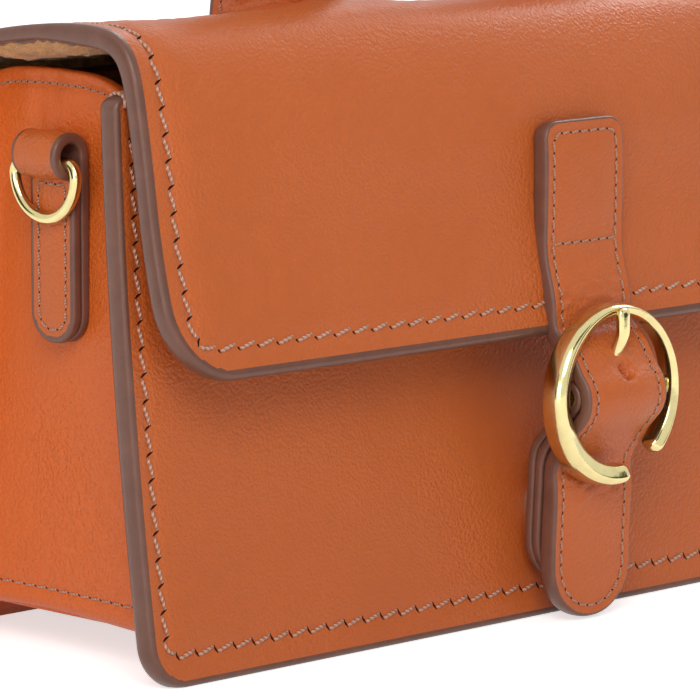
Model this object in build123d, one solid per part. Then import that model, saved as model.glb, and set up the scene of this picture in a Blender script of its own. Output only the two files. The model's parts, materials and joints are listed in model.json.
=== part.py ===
from build123d import *
from math import cos, hypot, radians, sin, sqrt
import os

# Small satchel-style sling bag of edge-painted leather. Millimetres; +X is the bag's right side seen
# from the front, -Y is its front, +Z is up. The outlines below are drawn about the body's own middle
# plane, and put() moves every piece so that the origin is the middle of the bag's bounding box, at the
# level of its feet.

# ------------------------------------------------------------------ leather and other stock
PANEL_T = 2.3          # front and back panels
GUSSET_T = 2.0         # gussets, base and their sewn flanges
FLAP_T = 2.0           # flap leather
SUEDE_T = 1.5          # suede glued inside the flap
LINING_T = 0.8         # lining of the body
LINING_DROP = 2.0      # it ends this far below the panels' top
STRAP_T = 2.0          # face leather of the closure strap
BACKING_T = 1.5        # backing leather of the closure strap
TAB_PLY = 1.8          # one ply of the folded buckle tab
CLEAR = 0.3            # running clearance between pieces that move

# ------------------------------------------------------------------ body
WIDTH = 200.0
PANEL_HEIGHT = 101.0
FRONT_FOOT_Y = -37.0
FRONT_TOP_Y = -27.5
BACK_TOP_Y = 20.0
BACK_FOOT_Y = 37.0
PANEL_BOW = 1.6        # the panels are pulled in by this much half way up
PANEL_CORNER_R = 8.0
PANEL_TOP_R = 2.2
INSET = 9.0            # gussets lie this far inside the panels' outline
BASE_RISE = 7.0        # and the base and the gussets' lower edges this far above the panels' feet
CROWN_RISE = 4.5       # the gusset's top edge is an arch
CROWN_EDGE_DROP = 1.5  # and starts this far below the panels' top
BASE_END_TAB = 10.0    # ends of the base, turned up inside the gussets
BOARD_T = 1.6          # stiffening board in the base

# ------------------------------------------------------------------ flap
FLAP_EDGE_Z = 53.3
FLAP_EDGE_GAP = 10.67  # flap leather's middle stands this far in front of the panel at its lower edge
FLAP_KNEE_RISE = 18.7
FLAP_KNEE_GAP = 9.8
FLAP_KNEE_R = 40.0
FLAP_CORNER_R = 14.0
BROW_RISE = 11.6       # front top edge of the flap, above the panels
BROW_REACH = 3.1
BROW_R = 11.0
SHOULDER_RISE = 8.9    # the flap turns down towards the hinge here
SHOULDER_BACK = 14.0
SHOULDER_R = 40.0
BAND_DROP = 25.0       # sewn part of the flap leather, down the back panel
SUEDE_STOP = 4.0       # the suede ends this far before the hinge line
HINGE_RISE = 1.35      # gap between the panel's top and the flap leather at the hinge

# ------------------------------------------------------------------ closure strap and buckle
STRAP_W = 20.8
STRAP_TOP_Z = 89.6
STRAP_TIP_Z = 0.4
STRAP_TOP_R = 4.5
STRAP_TIP_R = 10.0
STRAP_LIFT = 1.7       # the strap bends away from the flap this far above its lower edge
RING_X = 0.8
RING_DROP = 11.5       # ring's centre, below the flap's lower edge
RING_RADIAL = 4.0      # width of the ring's section in its plane, at its left
RING_MEAN_RADIAL = 3.15  # and its mean width all round
RING_SHIFT_X = 0.9     # inside's centre from the outside's, so that the frame thins to its upper right
RING_SHIFT_Z = 0.8
RING_BLANK = 8.0       # width of the two ring bodies that the frame is common to
TAB_SIDE_CLEAR = 1.5   # between the tab's edge and the inside of the ring, on the nearer side
RING_DEPTH = 3.4
RING_CORNER_R = 1.3
RING_END_R = 1.45
DENT_CORNER_R = 1.6
RING_GAP_FROM = -77.0  # the ring is open at its lower right, between these two angles
RING_GAP_TO = -49.0
RING_ROOM = 0.9        # dent in the strap round the ring
DENT_SPREAD = 0.8      # and on each side of it
BAR_R = 1.4
BAR_SET_BACK = 0.9     # centre bar, behind the middle of the ring
FOLD_R = 3.3           # outside of the tab where it is skived and folded round the bar
STRAP_CORNER_RUN = 10.9  # strap's bends above and below the bar
CREST_REACH = 1.35     # how far its crest's corner stands out, in crest radii
STRAP_PULL = 0.7       # the strap's back below the flap, in front of the flap's face
KNEE_PULL = 1.0        # how far it has bent back to the panel beside the snap
TIP_PULL = 0.8         # and at its tip
HEEL_BEND_R = 12.0
TIP_BEND_R = 60.0
BEND_R = 4.0
TAB_BOTTOM_Z = 6.5
TAB_SETBACK = 0.5      # tab lies this far behind the strap
PRONG_R = 1.1
PRONG_EYE_R = 3.1
PRONG_EYE_W = 2.6
PRONG_BEND_R = 5.0
PRONG_FIT = 0.1        # eye's clearance round the bar
PRONG_ROOT_BACK = 0.2  # where its shank leaves the eye
PRONG_ROOT_RISE = 2.2
PRONG_TIP_RISE = 0.1   # its tip passes the ring's outside by this much
PRONG_SLOT_W = 3.8
PRONG_NOTCH_W = 3.4
SNAP_Z = 19.5
SNAP_R = 6.5
SNAP_SOCKET_T = 1.9
SNAP_POST_R = 2.0
SNAP_WASHER_R = 5.0
SNAP_STUD_R = 6.0

# ------------------------------------------------------------------ D-rings and their tabs
D_CENTRE_Y = -5.4
D_TAB_W = 11.5
D_TAB_PLY = 2.0
D_TAB_BOTTOM_Z = 56.4
D_TAB_BOTTOM_R = 5.7
D_ROLL_Z = 89.3
D_EYE_R = 2.2
D_WIRE_R = 1.0
D_HALF_WIDTH = 8.0     # to the wire's middle
D_LEG = 2.4
D_LEAN = 12.0          # rings rest leaning out on their tabs

# ------------------------------------------------------------------ handle
HANDLE_Y = -5.0
HANDLE_W = 27.0
HANDLE_HALF_SPAN = 43.5  # to the outside of its legs
HANDLE_TOP_Z = 168.0
HANDLE_BEND_R = 27.0
COVER_T = 2.0
CORE_T = 3.0
CORE_W = 21.0          # where the core passes through the flap
ANCHOR_T = 1.0
ANCHOR_X = 16.0
ANCHOR_Y = 25.0
SLOT_CLEAR = 0.2
UNDER_FLAP = 15.0      # depth of the room under the flap that is cut off the handle's legs

# ------------------------------------------------------------------ inner pocket
POCKET_W = 110.0
POCKET_BOTTOM_Z = 26.0
POCKET_TOP_Z = 76.0
POCKET_T = 1.0
POCKET_R = 6.0

HALF = WIDTH / 2
GUSSET_X = HALF - INSET                  # outside of the gussets
INNER_X = GUSSET_X - GUSSET_T            # inside of the gussets
BASE_TOP = BASE_RISE + GUSSET_T
FLOOR_Z = BASE_TOP + BOARD_T + LINING_T  # what lies in the bag stands on this
FLANGE_DEPTH = PANEL_T + GUSSET_T
RING_OUTER_R = STRAP_W / 2 + RING_X + TAB_SIDE_CLEAR + RING_RADIAL
RING_INNER_R = RING_OUTER_R - RING_MEAN_RADIAL
DEEP = 200.0                             # half the depth of blocks that cut right through
OVERRUN = 10.0                           # sheets are drawn this much too large, then cut to outline


# ------------------------------------------------------------------ helpers
def prism_yz(face, x0, x1):
    """A face drawn with Y across and Z up, made solid from x0 to x1."""
    return Pos(x0, 0, 0) * extrude(Plane.YZ * face, x1 - x0)


def prism_xz(face, y0, y1):
    """A face drawn with X across and Z up, made solid from y0 to y1."""
    return Pos(0, y1, 0) * extrude(Plane.XZ * face, y1 - y0)


def block(x0, x1, y0, y1, z0, z1):
    middle = Pos((x0 + x1) / 2, (y0 + y1) / 2, (z0 + z1) / 2)
    return middle * Box(x1 - x0, y1 - y0, z1 - z0)


def window(x0, x1, z0, z1):
    """A block deep enough to cut any sheet to a rectangle seen from the front."""
    return block(x0, x1, -DEEP, DEEP, z0, z1)


def rod(start, end, radius):
    """A round bar between two points."""
    path = Line(start, end)
    return extrude(Plane(path @ 0, z_dir=path % 0) * Circle(radius), path.length)


def slab(half_width, z0, z1, bottom_r, top_r):
    """A deep block whose front view is a rectangle with round corners."""
    face = Pos(0, (z0 + z1) / 2) * Rectangle(2 * half_width, z1 - z0)
    rows = face.vertices().group_by(Axis.Y)
    face = fillet(rows[0], bottom_r)
    if top_r > 0:
        face = fillet(face.vertices().group_by(Axis.Y)[-1], top_r)
    return prism_xz(face, -DEEP, DEEP)


class Wall:
    """A leaning wall seen from the side: an arc from foot to top, bowed into the bag.

    inward is +1 for the front wall, whose inside is towards +Y, and -1 for the back wall.
    """

    def __init__(self, foot_y, top_y, inward):
        run = top_y - foot_y
        chord = hypot(run, PANEL_HEIGHT)
        self.inward = inward
        self.radius = chord**2 / (8 * PANEL_BOW) + PANEL_BOW / 2
        reach = (self.radius - PANEL_BOW) / chord
        self.centre_y = (foot_y + top_y) / 2 - inward * PANEL_HEIGHT * reach
        self.centre_z = PANEL_HEIGHT / 2 + inward * run * reach

    def y(self, depth, z):
        """Where the surface lies at height z, depth inwards from the outer face."""
        radius = self.radius + depth
        return self.centre_y + self.inward * sqrt(radius**2 - (z - self.centre_z) ** 2)

    def edge(self, depth, z0, z1):
        heights = (z0, (z0 + z1) / 2, z1)
        return ThreePointArc(*[(self.y(depth, z), z) for z in heights])

    def layer(self, near, far, outline):
        """The sheet between two depths, as far as an outline seen from the front."""
        outer = self.edge(near, -OVERRUN, PANEL_HEIGHT + OVERRUN)
        inner = self.edge(far, -OVERRUN, PANEL_HEIGHT + OVERRUN)
        ends = [Line(outer @ 0, inner @ 0), Line(outer @ 1, inner @ 1)]
        sheet = prism_yz(make_face([outer, inner, *ends]), -HALF - OVERRUN, HALF + OVERRUN)
        return sheet & outline


FRONT = Wall(FRONT_FOOT_Y, FRONT_TOP_Y, 1)
BACK = Wall(BACK_FOOT_Y, BACK_TOP_Y, -1)


def between(depth, z0, z1, x0, x1):
    """The space between the walls, depth inwards from the outer face of each."""
    front = FRONT.edge(depth, z0, z1)
    back = BACK.edge(depth, z0, z1)
    ends = [Line(front @ 0, back @ 0), Line(front @ 1, back @ 1)]
    return prism_yz(make_face([front, back, *ends]), x0, x1)


def headings(points):
    pairs = list(zip(points, points[1:]))
    lengths = [hypot(b[0] - a[0], b[1] - a[1]) for a, b in pairs]
    return [((b[0] - a[0]) / n, (b[1] - a[1]) / n) for (a, b), n in zip(pairs, lengths)]


def shifted(points, distance):
    """The same run of straight lines, moved to its right-hand side."""
    rights = [(h[1], -h[0]) for h in headings(points)]
    rights = [rights[0], *rights, rights[-1]]
    moved = []
    for (y, z), before, after in zip(points, rights, rights[1:]):
        share = distance / (1 + before[0] * after[0] + before[1] * after[1])
        moved.append((y + share * (before[0] + after[0]), z + share * (before[1] + after[1])))
    return moved


def bend_radii(points, radii, distance):
    """Radii of the bends of the shifted run: tighter inside a bend, wider outside."""
    ways = headings(points)
    turns = [a[0] * b[1] - a[1] * b[0] for a, b in zip(ways, ways[1:])]
    return [r + distance if turn > 0 else r - distance for r, turn in zip(radii, turns)]


def strip_line(points, radii, distance):
    line = shifted(points, distance)
    if len(line) == 2:
        return Line(*line)
    return FilletPolyline(*line, radius=bend_radii(points, radii, distance))


def strip(points, radii, near, far, half_width):
    """A bent sheet between two distances to the right of a run of lines with round bends."""
    first = strip_line(points, radii, near)
    second = strip_line(points, radii, far)
    ends = [Line(first @ 0, second @ 0), Line(first @ 1, second @ 1)]
    face = make_face([*first.edges(), *second.edges(), *ends])
    return prism_yz(face, -half_width, half_width)


# ------------------------------------------------------------------ the flap's run, front to hinge
HINGE_Y = BACK_TOP_Y + FLAP_T / 2
HINGE_Z = PANEL_HEIGHT + FLAP_T / 2 + HINGE_RISE
FLAP_EDGE = (FRONT.y(0, FLAP_EDGE_Z) - FLAP_EDGE_GAP, FLAP_EDGE_Z)
FLAP_KNEE_Z = FLAP_EDGE_Z + FLAP_KNEE_RISE
FLAP_KNEE = (FRONT.y(0, FLAP_KNEE_Z) - FLAP_KNEE_GAP, FLAP_KNEE_Z)
BROW = (FRONT_TOP_Y - BROW_REACH, PANEL_HEIGHT + BROW_RISE)
SHOULDER = (BACK_TOP_Y - SHOULDER_BACK, PANEL_HEIGHT + SHOULDER_RISE)
FLAP_RUN = [FLAP_EDGE, FLAP_KNEE, BROW, SHOULDER, (HINGE_Y, HINGE_Z)]
FLAP_RADII = [FLAP_KNEE_R, BROW_R, SHOULDER_R]
FLAP_FACE = -FLAP_T / 2
FLAP_BACK = FLAP_T / 2

# ------------------------------------------------------------------ the strap's run, top to tip
STRAP_DEPTH = BACKING_T + STRAP_T
FACE_EDGE, FACE_KNEE, FACE_BROW = shifted(FLAP_RUN, FLAP_FACE)[:3]
FACE_WAY = headings([FACE_KNEE, FACE_EDGE])[0]
STRAP_LEAVES = (FACE_EDGE[0] - STRAP_LIFT * FACE_WAY[0], FACE_EDGE[1] - STRAP_LIFT * FACE_WAY[1])
TOP_SHARE = (STRAP_TOP_Z - FACE_KNEE[1]) / (FACE_BROW[1] - FACE_KNEE[1])
STRAP_START = (FACE_KNEE[0] + TOP_SHARE * (FACE_BROW[0] - FACE_KNEE[0]), STRAP_TOP_Z)
RING_Z = FLAP_EDGE_Z - RING_DROP
STRAP_BACK_Y = FACE_EDGE[0] - STRAP_PULL
RING_Y = STRAP_BACK_Y - STRAP_DEPTH - RING_ROOM - RING_DEPTH / 2
BAR_Y = RING_Y + BAR_SET_BACK
CREST_R = FOLD_R + TAB_SETBACK
CREST = (BAR_Y - CREST_R * CREST_REACH, RING_Z)
STRAP_RUN = [
    STRAP_START,
    FACE_KNEE,
    STRAP_LEAVES,
    (STRAP_BACK_Y, RING_Z + STRAP_CORNER_RUN),
    CREST,
    (STRAP_BACK_Y, RING_Z - STRAP_CORNER_RUN),
    (STRAP_BACK_Y + KNEE_PULL, SNAP_Z - SNAP_R),
    (STRAP_BACK_Y + TIP_PULL, STRAP_TIP_Z),
]
STRAP_RADII = [
    FLAP_KNEE_R - FLAP_FACE,
    HEEL_BEND_R,
    BEND_R,
    CREST_R,
    BEND_R + STRAP_DEPTH,
    TIP_BEND_R,
]
FRONT_REACH = -(BAR_Y - CREST_R - STRAP_DEPTH)
ORIGIN_Y = (FRONT_REACH - BACK_FOOT_Y) / 2


# ------------------------------------------------------------------ body of the bag
def panel_slab():
    return slab(HALF, 0, PANEL_HEIGHT, PANEL_CORNER_R, PANEL_TOP_R)


def snap_drill(radius):
    """A round hole along Y through the front panel, where the snap is riveted."""
    return rod((0, -DEEP, SNAP_Z), (0, 0, SNAP_Z), radius)


def front_panel():
    return FRONT.layer(0, PANEL_T, panel_slab()) - snap_drill(SNAP_POST_R)


def back_panel():
    return BACK.layer(0, PANEL_T, panel_slab())


def flange(wall, x0, x1, z0, z1):
    """The turned-out edge of a gusset or of the base, sewn to the inside of a panel."""
    return wall.layer(PANEL_T, FLANGE_DEPTH, panel_slab() & window(x0, x1, z0, z1))


def crown():
    """Everything under the arched top edge of the gussets."""
    edge_z = PANEL_HEIGHT - CROWN_EDGE_DROP
    front_y = FRONT.y(0, edge_z)
    back_y = BACK.y(0, edge_z)
    middle = ((front_y + back_y) / 2, edge_z + CROWN_RISE)
    arch = ThreePointArc((front_y, edge_z), middle, (back_y, edge_z))
    down = Polyline((back_y, edge_z), (BACK_FOOT_Y, 0), (FRONT_FOOT_Y, 0), (front_y, edge_z))
    return prism_yz(make_face([*arch.edges(), *down.edges()]), -HALF, HALF)


def gusset_left():
    top = PANEL_HEIGHT + CROWN_RISE
    plate = between(PANEL_T, BASE_RISE, top, -GUSSET_X, -INNER_X) & crown()
    edge_z = PANEL_HEIGHT - CROWN_EDGE_DROP
    front = flange(FRONT, -HALF, -INNER_X, BASE_RISE, edge_z)
    back = flange(BACK, -HALF, -INNER_X, BASE_RISE, edge_z)
    return plate + front + back


def base_panel():
    plate = between(PANEL_T, BASE_RISE, BASE_TOP, -INNER_X, INNER_X)
    piece = plate
    for wall in (FRONT, BACK):
        piece += flange(wall, -HALF, HALF, 0, BASE_RISE)
    for side in (-1, 1):
        x0, x1 = sorted((side * (INNER_X - GUSSET_T), side * INNER_X))
        tab = between(FLANGE_DEPTH + GUSSET_T / 2, BASE_TOP, BASE_TOP + BASE_END_TAB, x0, x1)
        piece += tab
    return piece


def base_sheet(z0, z1, depth):
    reach = INNER_X - GUSSET_T
    return between(depth, z0, z1, -reach, reach)


def wall_lining(wall):
    reach = INNER_X - GUSSET_T
    outline = window(-reach, reach, FLOOR_Z, PANEL_HEIGHT - LINING_DROP)
    return wall.layer(PANEL_T, PANEL_T + LINING_T, outline)


def front_lining():
    return wall_lining(FRONT) - snap_drill(SNAP_WASHER_R + CLEAR)


def gusset_lining_left():
    bottom = BASE_TOP + BASE_END_TAB + CLEAR
    return between(PANEL_T, bottom, PANEL_HEIGHT - LINING_DROP, -INNER_X, -INNER_X + LINING_T)


def inner_pocket():
    near = PANEL_T + LINING_T
    outline = slab(POCKET_W / 2, POCKET_BOTTOM_Z, POCKET_TOP_Z, POCKET_R, 0)
    return BACK.layer(near, near + POCKET_T, outline)


# ------------------------------------------------------------------ flap
def flap_slab():
    return slab(HALF, FLAP_EDGE_Z, HANDLE_TOP_Z, FLAP_CORNER_R, 0)


def anchor_room(side, clear):
    """Where a handle anchor lies between the flap leather and its suede."""
    x = side * (HANDLE_HALF_SPAN - COVER_T - CORE_T / 2)
    half_x = ANCHOR_X / 2 + clear
    half_y = ANCHOR_Y / 2 + clear
    sheet = strip(FLAP_RUN, FLAP_RADII, FLAP_BACK, FLAP_BACK + ANCHOR_T, HALF)
    room = block(x - half_x, x + half_x, HANDLE_Y - half_y, HANDLE_Y + half_y, PANEL_HEIGHT, HANDLE_TOP_Z)
    return sheet & room


def core_slot(side):
    x = side * (HANDLE_HALF_SPAN - COVER_T - CORE_T / 2)
    half_x = CORE_T / 2 + SLOT_CLEAR
    half_y = CORE_W / 2 + SLOT_CLEAR
    return block(x - half_x, x + half_x, HANDLE_Y - half_y, HANDLE_Y + half_y, PANEL_HEIGHT, HANDLE_TOP_Z)


def flap_leather():
    piece = strip(FLAP_RUN, FLAP_RADII, FLAP_FACE, FLAP_BACK, HALF) & flap_slab()
    piece += rod((-HALF, HINGE_Y, HINGE_Z), (HALF, HINGE_Y, HINGE_Z), FLAP_T / 2)
    return piece - core_slot(-1) - core_slot(1)


def flap_lining():
    piece = strip(FLAP_RUN, FLAP_RADII, FLAP_BACK, FLAP_BACK + SUEDE_T, HALF) & flap_slab()
    piece &= block(-HALF, HALF, -DEEP, HINGE_Y - SUEDE_STOP, 0, HANDLE_TOP_Z)
    return piece - anchor_room(-1, CLEAR) - anchor_room(1, CLEAR)


def flap_anchor_band():
    top = HINGE_Z - FLAP_T / 2 - CLEAR
    return BACK.layer(-FLAP_T, 0, slab(HALF, PANEL_HEIGHT - BAND_DROP, top, PANEL_CORNER_R, 0))


# ------------------------------------------------------------------ closure strap, buckle and snap
def strap_slab():
    return slab(STRAP_W / 2, STRAP_TIP_Z, STRAP_TOP_Z, STRAP_TIP_R, STRAP_TOP_R)


def ring_body(inner_r, outer_r, depth, corner, start=0, arc=360):
    """A round-cornered flat ring about the buckle's centre."""
    middle_r = (inner_r + outer_r) / 2
    section = Plane.XZ * Pos(middle_r, 0) * RectangleRounded(outer_r - inner_r, depth, corner)
    turned = Rot(0, 0, start) * revolve(section, axis=Axis.Z, revolution_arc=arc)
    return Pos(RING_X, RING_Y, RING_Z) * Rot(90, 0, 0) * turned


def strap_cuts():
    """What is let into the strap: the dent round the ring and the prong's slot."""
    inner_r = RING_OUTER_R - RING_RADIAL - DENT_SPREAD
    room = ring_body(inner_r, RING_OUTER_R + DENT_SPREAD, RING_DEPTH + 2 * RING_ROOM, DENT_CORNER_R)
    half = PRONG_SLOT_W / 2
    slot = window(RING_X - half, RING_X + half, RING_Z + BAR_R, RING_Z + STRAP_CORNER_RUN)
    return room + slot


def strap_layer(near, far):
    sheet = strip(STRAP_RUN, STRAP_RADII, near, far, STRAP_W / 2) & strap_slab()
    return sheet - strap_cuts()


def tab_run():
    """The two plies of the tab, from beside the bar down behind the strap."""
    crest, corner, knee, tip = STRAP_RUN[4:]
    way = headings([crest, corner])[0]
    along = (BAR_Y - crest[0]) * way[0] + (RING_Z - crest[1]) * way[1]
    start = (crest[0] + along * way[0], crest[1] + along * way[1])
    return [start, corner, knee, tip], STRAP_RADII[4:]


def tab_strip(near, far):
    points, radii = tab_run()
    return strip(points, radii, near, far, STRAP_W / 2)


def bar_drill(radius):
    reach = STRAP_W / 2
    return rod((-reach, BAR_Y, RING_Z), (reach, BAR_Y, RING_Z), radius)


def buckle_tab():
    plies = tab_strip(-TAB_SETBACK - 2 * TAB_PLY, -TAB_SETBACK)
    plies &= slab(STRAP_W / 2, TAB_BOTTOM_Z, PANEL_HEIGHT, STRAP_TIP_R, 0)
    half = PRONG_NOTCH_W / 2
    reach = FOLD_R + CLEAR
    notch = block(RING_X - half, RING_X + half, BAR_Y - reach, BAR_Y + reach, RING_Z - reach, RING_Z + reach)
    return plies + bar_drill(FOLD_R) - bar_drill(BAR_R + CLEAR) - notch


def ring_inside(angle):
    """Distance of the frame's inside from the centre of its outside, at an angle."""
    along = RING_SHIFT_X * cos(angle) + RING_SHIFT_Z * sin(angle)
    across = RING_SHIFT_Z * cos(angle) - RING_SHIFT_X * sin(angle)
    return along + sqrt(RING_INNER_R ** 2 - across ** 2)


def buckle_ring():
    arc = 360 + RING_GAP_FROM - RING_GAP_TO
    outside = ring_body(RING_OUTER_R - RING_BLANK, RING_OUTER_R, RING_DEPTH, RING_CORNER_R, RING_GAP_TO, arc)
    inside = ring_body(RING_INNER_R, RING_INNER_R + RING_BLANK, RING_DEPTH, RING_CORNER_R)
    frame = outside & Pos(RING_SHIFT_X, 0, RING_SHIFT_Z) * inside
    for angle in (radians(RING_GAP_FROM), radians(RING_GAP_TO)):
        middle_r = (RING_OUTER_R + ring_inside(angle)) / 2
        end = Pos(RING_X + middle_r * cos(angle), RING_Y, RING_Z + middle_r * sin(angle))
        frame += end * Sphere(RING_END_R)
    reach = RING_OUTER_R - RING_CORNER_R
    bar = rod((RING_X - reach, BAR_Y, RING_Z), (RING_X + reach, BAR_Y, RING_Z), BAR_R)
    return frame + bar


def buckle_prong():
    half = PRONG_EYE_W / 2
    eye = rod((RING_X - half, BAR_Y, RING_Z), (RING_X + half, BAR_Y, RING_Z), PRONG_EYE_R)
    rest_y = RING_Y - RING_DEPTH / 2 - CLEAR - PRONG_R
    foot = (RING_X, BAR_Y - PRONG_ROOT_BACK, RING_Z + PRONG_ROOT_RISE)
    knee = (RING_X, rest_y, RING_Z + RING_OUTER_R - RING_RADIAL - RING_CORNER_R)
    tip = (RING_X, rest_y, RING_Z + RING_OUTER_R + PRONG_TIP_RISE)
    path = FilletPolyline(foot, knee, tip, radius=PRONG_BEND_R)
    shank = sweep(Plane(path @ 0, z_dir=path % 0) * Circle(PRONG_R), path)
    return eye + shank - bar_drill(BAR_R + PRONG_FIT)


SNAP_FACE_Y = FRONT.y(0, SNAP_Z) - SNAP_SOCKET_T


def snap_socket():
    disc = rod((0, SNAP_FACE_Y, SNAP_Z), (0, 0, SNAP_Z), SNAP_R)
    disc -= between(0, 0, PANEL_HEIGHT, -HALF, HALF)
    return disc + FRONT.layer(0, PANEL_T, snap_drill(SNAP_POST_R))


def snap_washer():
    return FRONT.layer(PANEL_T, PANEL_T + LINING_T, snap_drill(SNAP_WASHER_R))


def snap_stud():
    between_plies = STRAP_BACK_Y + TAB_SETBACK + TAB_PLY
    disc = rod((0, between_plies, SNAP_Z), (0, SNAP_FACE_Y - CLEAR, SNAP_Z), SNAP_STUD_R)
    return disc - tab_strip(-TAB_SETBACK - 2 * TAB_PLY, -TAB_SETBACK)


# ------------------------------------------------------------------ D-rings
def d_ring_tab_left():
    roll_r = D_EYE_R + D_TAB_PLY
    x = -GUSSET_X - roll_r
    y0 = D_CENTRE_Y - D_TAB_W / 2
    y1 = D_CENTRE_Y + D_TAB_W / 2
    plies = block(-GUSSET_X - 2 * D_TAB_PLY, -GUSSET_X, y0, y1, D_TAB_BOTTOM_Z, D_ROLL_Z)
    bottom = plies.edges().filter_by(Axis.X).group_by(Axis.Z)[0]
    plies = fillet(bottom, D_TAB_BOTTOM_R)
    roll = rod((x, y0, D_ROLL_Z), (x, y1, D_ROLL_Z), roll_r)
    eye = rod((x, y0, D_ROLL_Z), (x, y1, D_ROLL_Z), D_EYE_R)
    return plies + roll - eye


D_PIVOT_X = -GUSSET_X - D_EYE_R - D_TAB_PLY
D_PIVOT_Z = D_ROLL_Z - (D_EYE_R - D_WIRE_R - CLEAR)


def d_ring_left():
    """A wire D, drawn hanging from the pivot and then leant out."""
    w = D_HALF_WIDTH
    ring = rod((0, -w, 0), (0, w, 0), D_WIRE_R)
    for side in (-w, w):
        ring += rod((0, side, 0), (0, side, -D_LEG), D_WIRE_R)
        ring += Pos(0, side, 0) * Sphere(D_WIRE_R)
    section = Plane.XY * Pos(0, w) * Circle(D_WIRE_R)
    bow = revolve(section, axis=Axis.X, revolution_arc=-180)
    ring += Pos(0, 0, -D_LEG) * bow
    return Pos(D_PIVOT_X, D_CENTRE_Y, D_PIVOT_Z) * Rot(0, D_LEAN, 0) * ring


# ------------------------------------------------------------------ handle
TOP_RUN = FLAP_RUN[2:]


def handle_layer(near, far, width):
    """A strip bent into the handle's arch, between two depths from its outer face."""
    lines = []
    for depth in (near, far):
        x = HANDLE_HALF_SPAN - depth
        z = HANDLE_TOP_Z - depth
        points = [(-x, PANEL_HEIGHT), (-x, z), (x, z), (x, PANEL_HEIGHT)]
        lines.append(FilletPolyline(*points, radius=HANDLE_BEND_R - depth))
    outer, inner = lines
    ends = [Line(outer @ 0, inner @ 0), Line(outer @ 1, inner @ 1)]
    face = make_face([*outer.edges(), *inner.edges(), *ends])
    return prism_xz(face, HANDLE_Y - width / 2, HANDLE_Y + width / 2)


def below_flap(distance):
    """All that lies under the flap's top, from a distance inside its leather's middle."""
    return strip(TOP_RUN, FLAP_RADII[2:], distance, distance + UNDER_FLAP, HALF)


def handle_cover_outer():
    return handle_layer(0, COVER_T, HANDLE_W) - below_flap(FLAP_FACE)


def handle_core():
    """As wide as the covers above the flap, with a narrower tongue through each slot."""
    arch = handle_layer(COVER_T, COVER_T + CORE_T, HANDLE_W) - below_flap(FLAP_FACE)
    return arch + (handle_layer(COVER_T, COVER_T + CORE_T, CORE_W) - below_flap(FLAP_BACK))


def handle_cover_inner():
    near = COVER_T + CORE_T
    return handle_layer(near, near + COVER_T, HANDLE_W) - below_flap(FLAP_FACE)


# ------------------------------------------------------------------ writing
def mirrored(piece):
    return mirror(piece, about=Plane.YZ)


def put(name, piece):
    export_step(Pos(0, ORIGIN_Y, 0) * piece, f"parts/{name}.step")


def main():
    os.makedirs("parts", exist_ok=True)
    put("front_panel", front_panel())
    put("back_panel", back_panel())
    put("base_panel", base_panel())
    put("base_board", base_sheet(BASE_TOP, BASE_TOP + BOARD_T, PANEL_T))
    put("base_lining", base_sheet(BASE_TOP + BOARD_T, FLOOR_Z, PANEL_T))
    put("front_lining", front_lining())
    put("back_lining", wall_lining(BACK))
    put("inner_pocket", inner_pocket())
    pairs = {
        "gusset": gusset_left(),
        "gusset_lining": gusset_lining_left(),
        "d_ring_tab": d_ring_tab_left(),
        "d_ring": d_ring_left(),
        "handle_anchor": anchor_room(-1, 0),
    }
    for name, left in pairs.items():
        put(f"{name}_left", left)
        put(f"{name}_right", mirrored(left))
    put("flap_leather", flap_leather())
    put("flap_lining", flap_lining())
    put("flap_anchor_band", flap_anchor_band())
    put("closure_strap", strap_layer(BACKING_T, STRAP_DEPTH))
    put("closure_strap_backing", strap_layer(0, BACKING_T))
    put("buckle_tab", buckle_tab())
    put("buckle_ring", buckle_ring())
    put("buckle_prong", buckle_prong())
    put("snap_socket", snap_socket())
    put("snap_washer", snap_washer())
    put("snap_stud", snap_stud())
    put("handle_cover_outer", handle_cover_outer())
    put("handle_core", handle_core())
    put("handle_cover_inner", handle_cover_inner())
    pivots = {
        "flap hinge": (0, HINGE_Y, HINGE_Z),
        "buckle bar": (RING_X, BAR_Y, RING_Z),
        "left D-ring": (D_PIVOT_X, D_CENTRE_Y, D_PIVOT_Z),
    }
    for name, (x, y, z) in pivots.items():
        print(f"{name}: {x:.3f} {y + ORIGIN_Y:.3f} {z:.3f}")
    print(f"origin shift along Y: {ORIGIN_Y:.3f}")


main()
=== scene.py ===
import json
from math import cos, pi, radians, sin, tan

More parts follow.
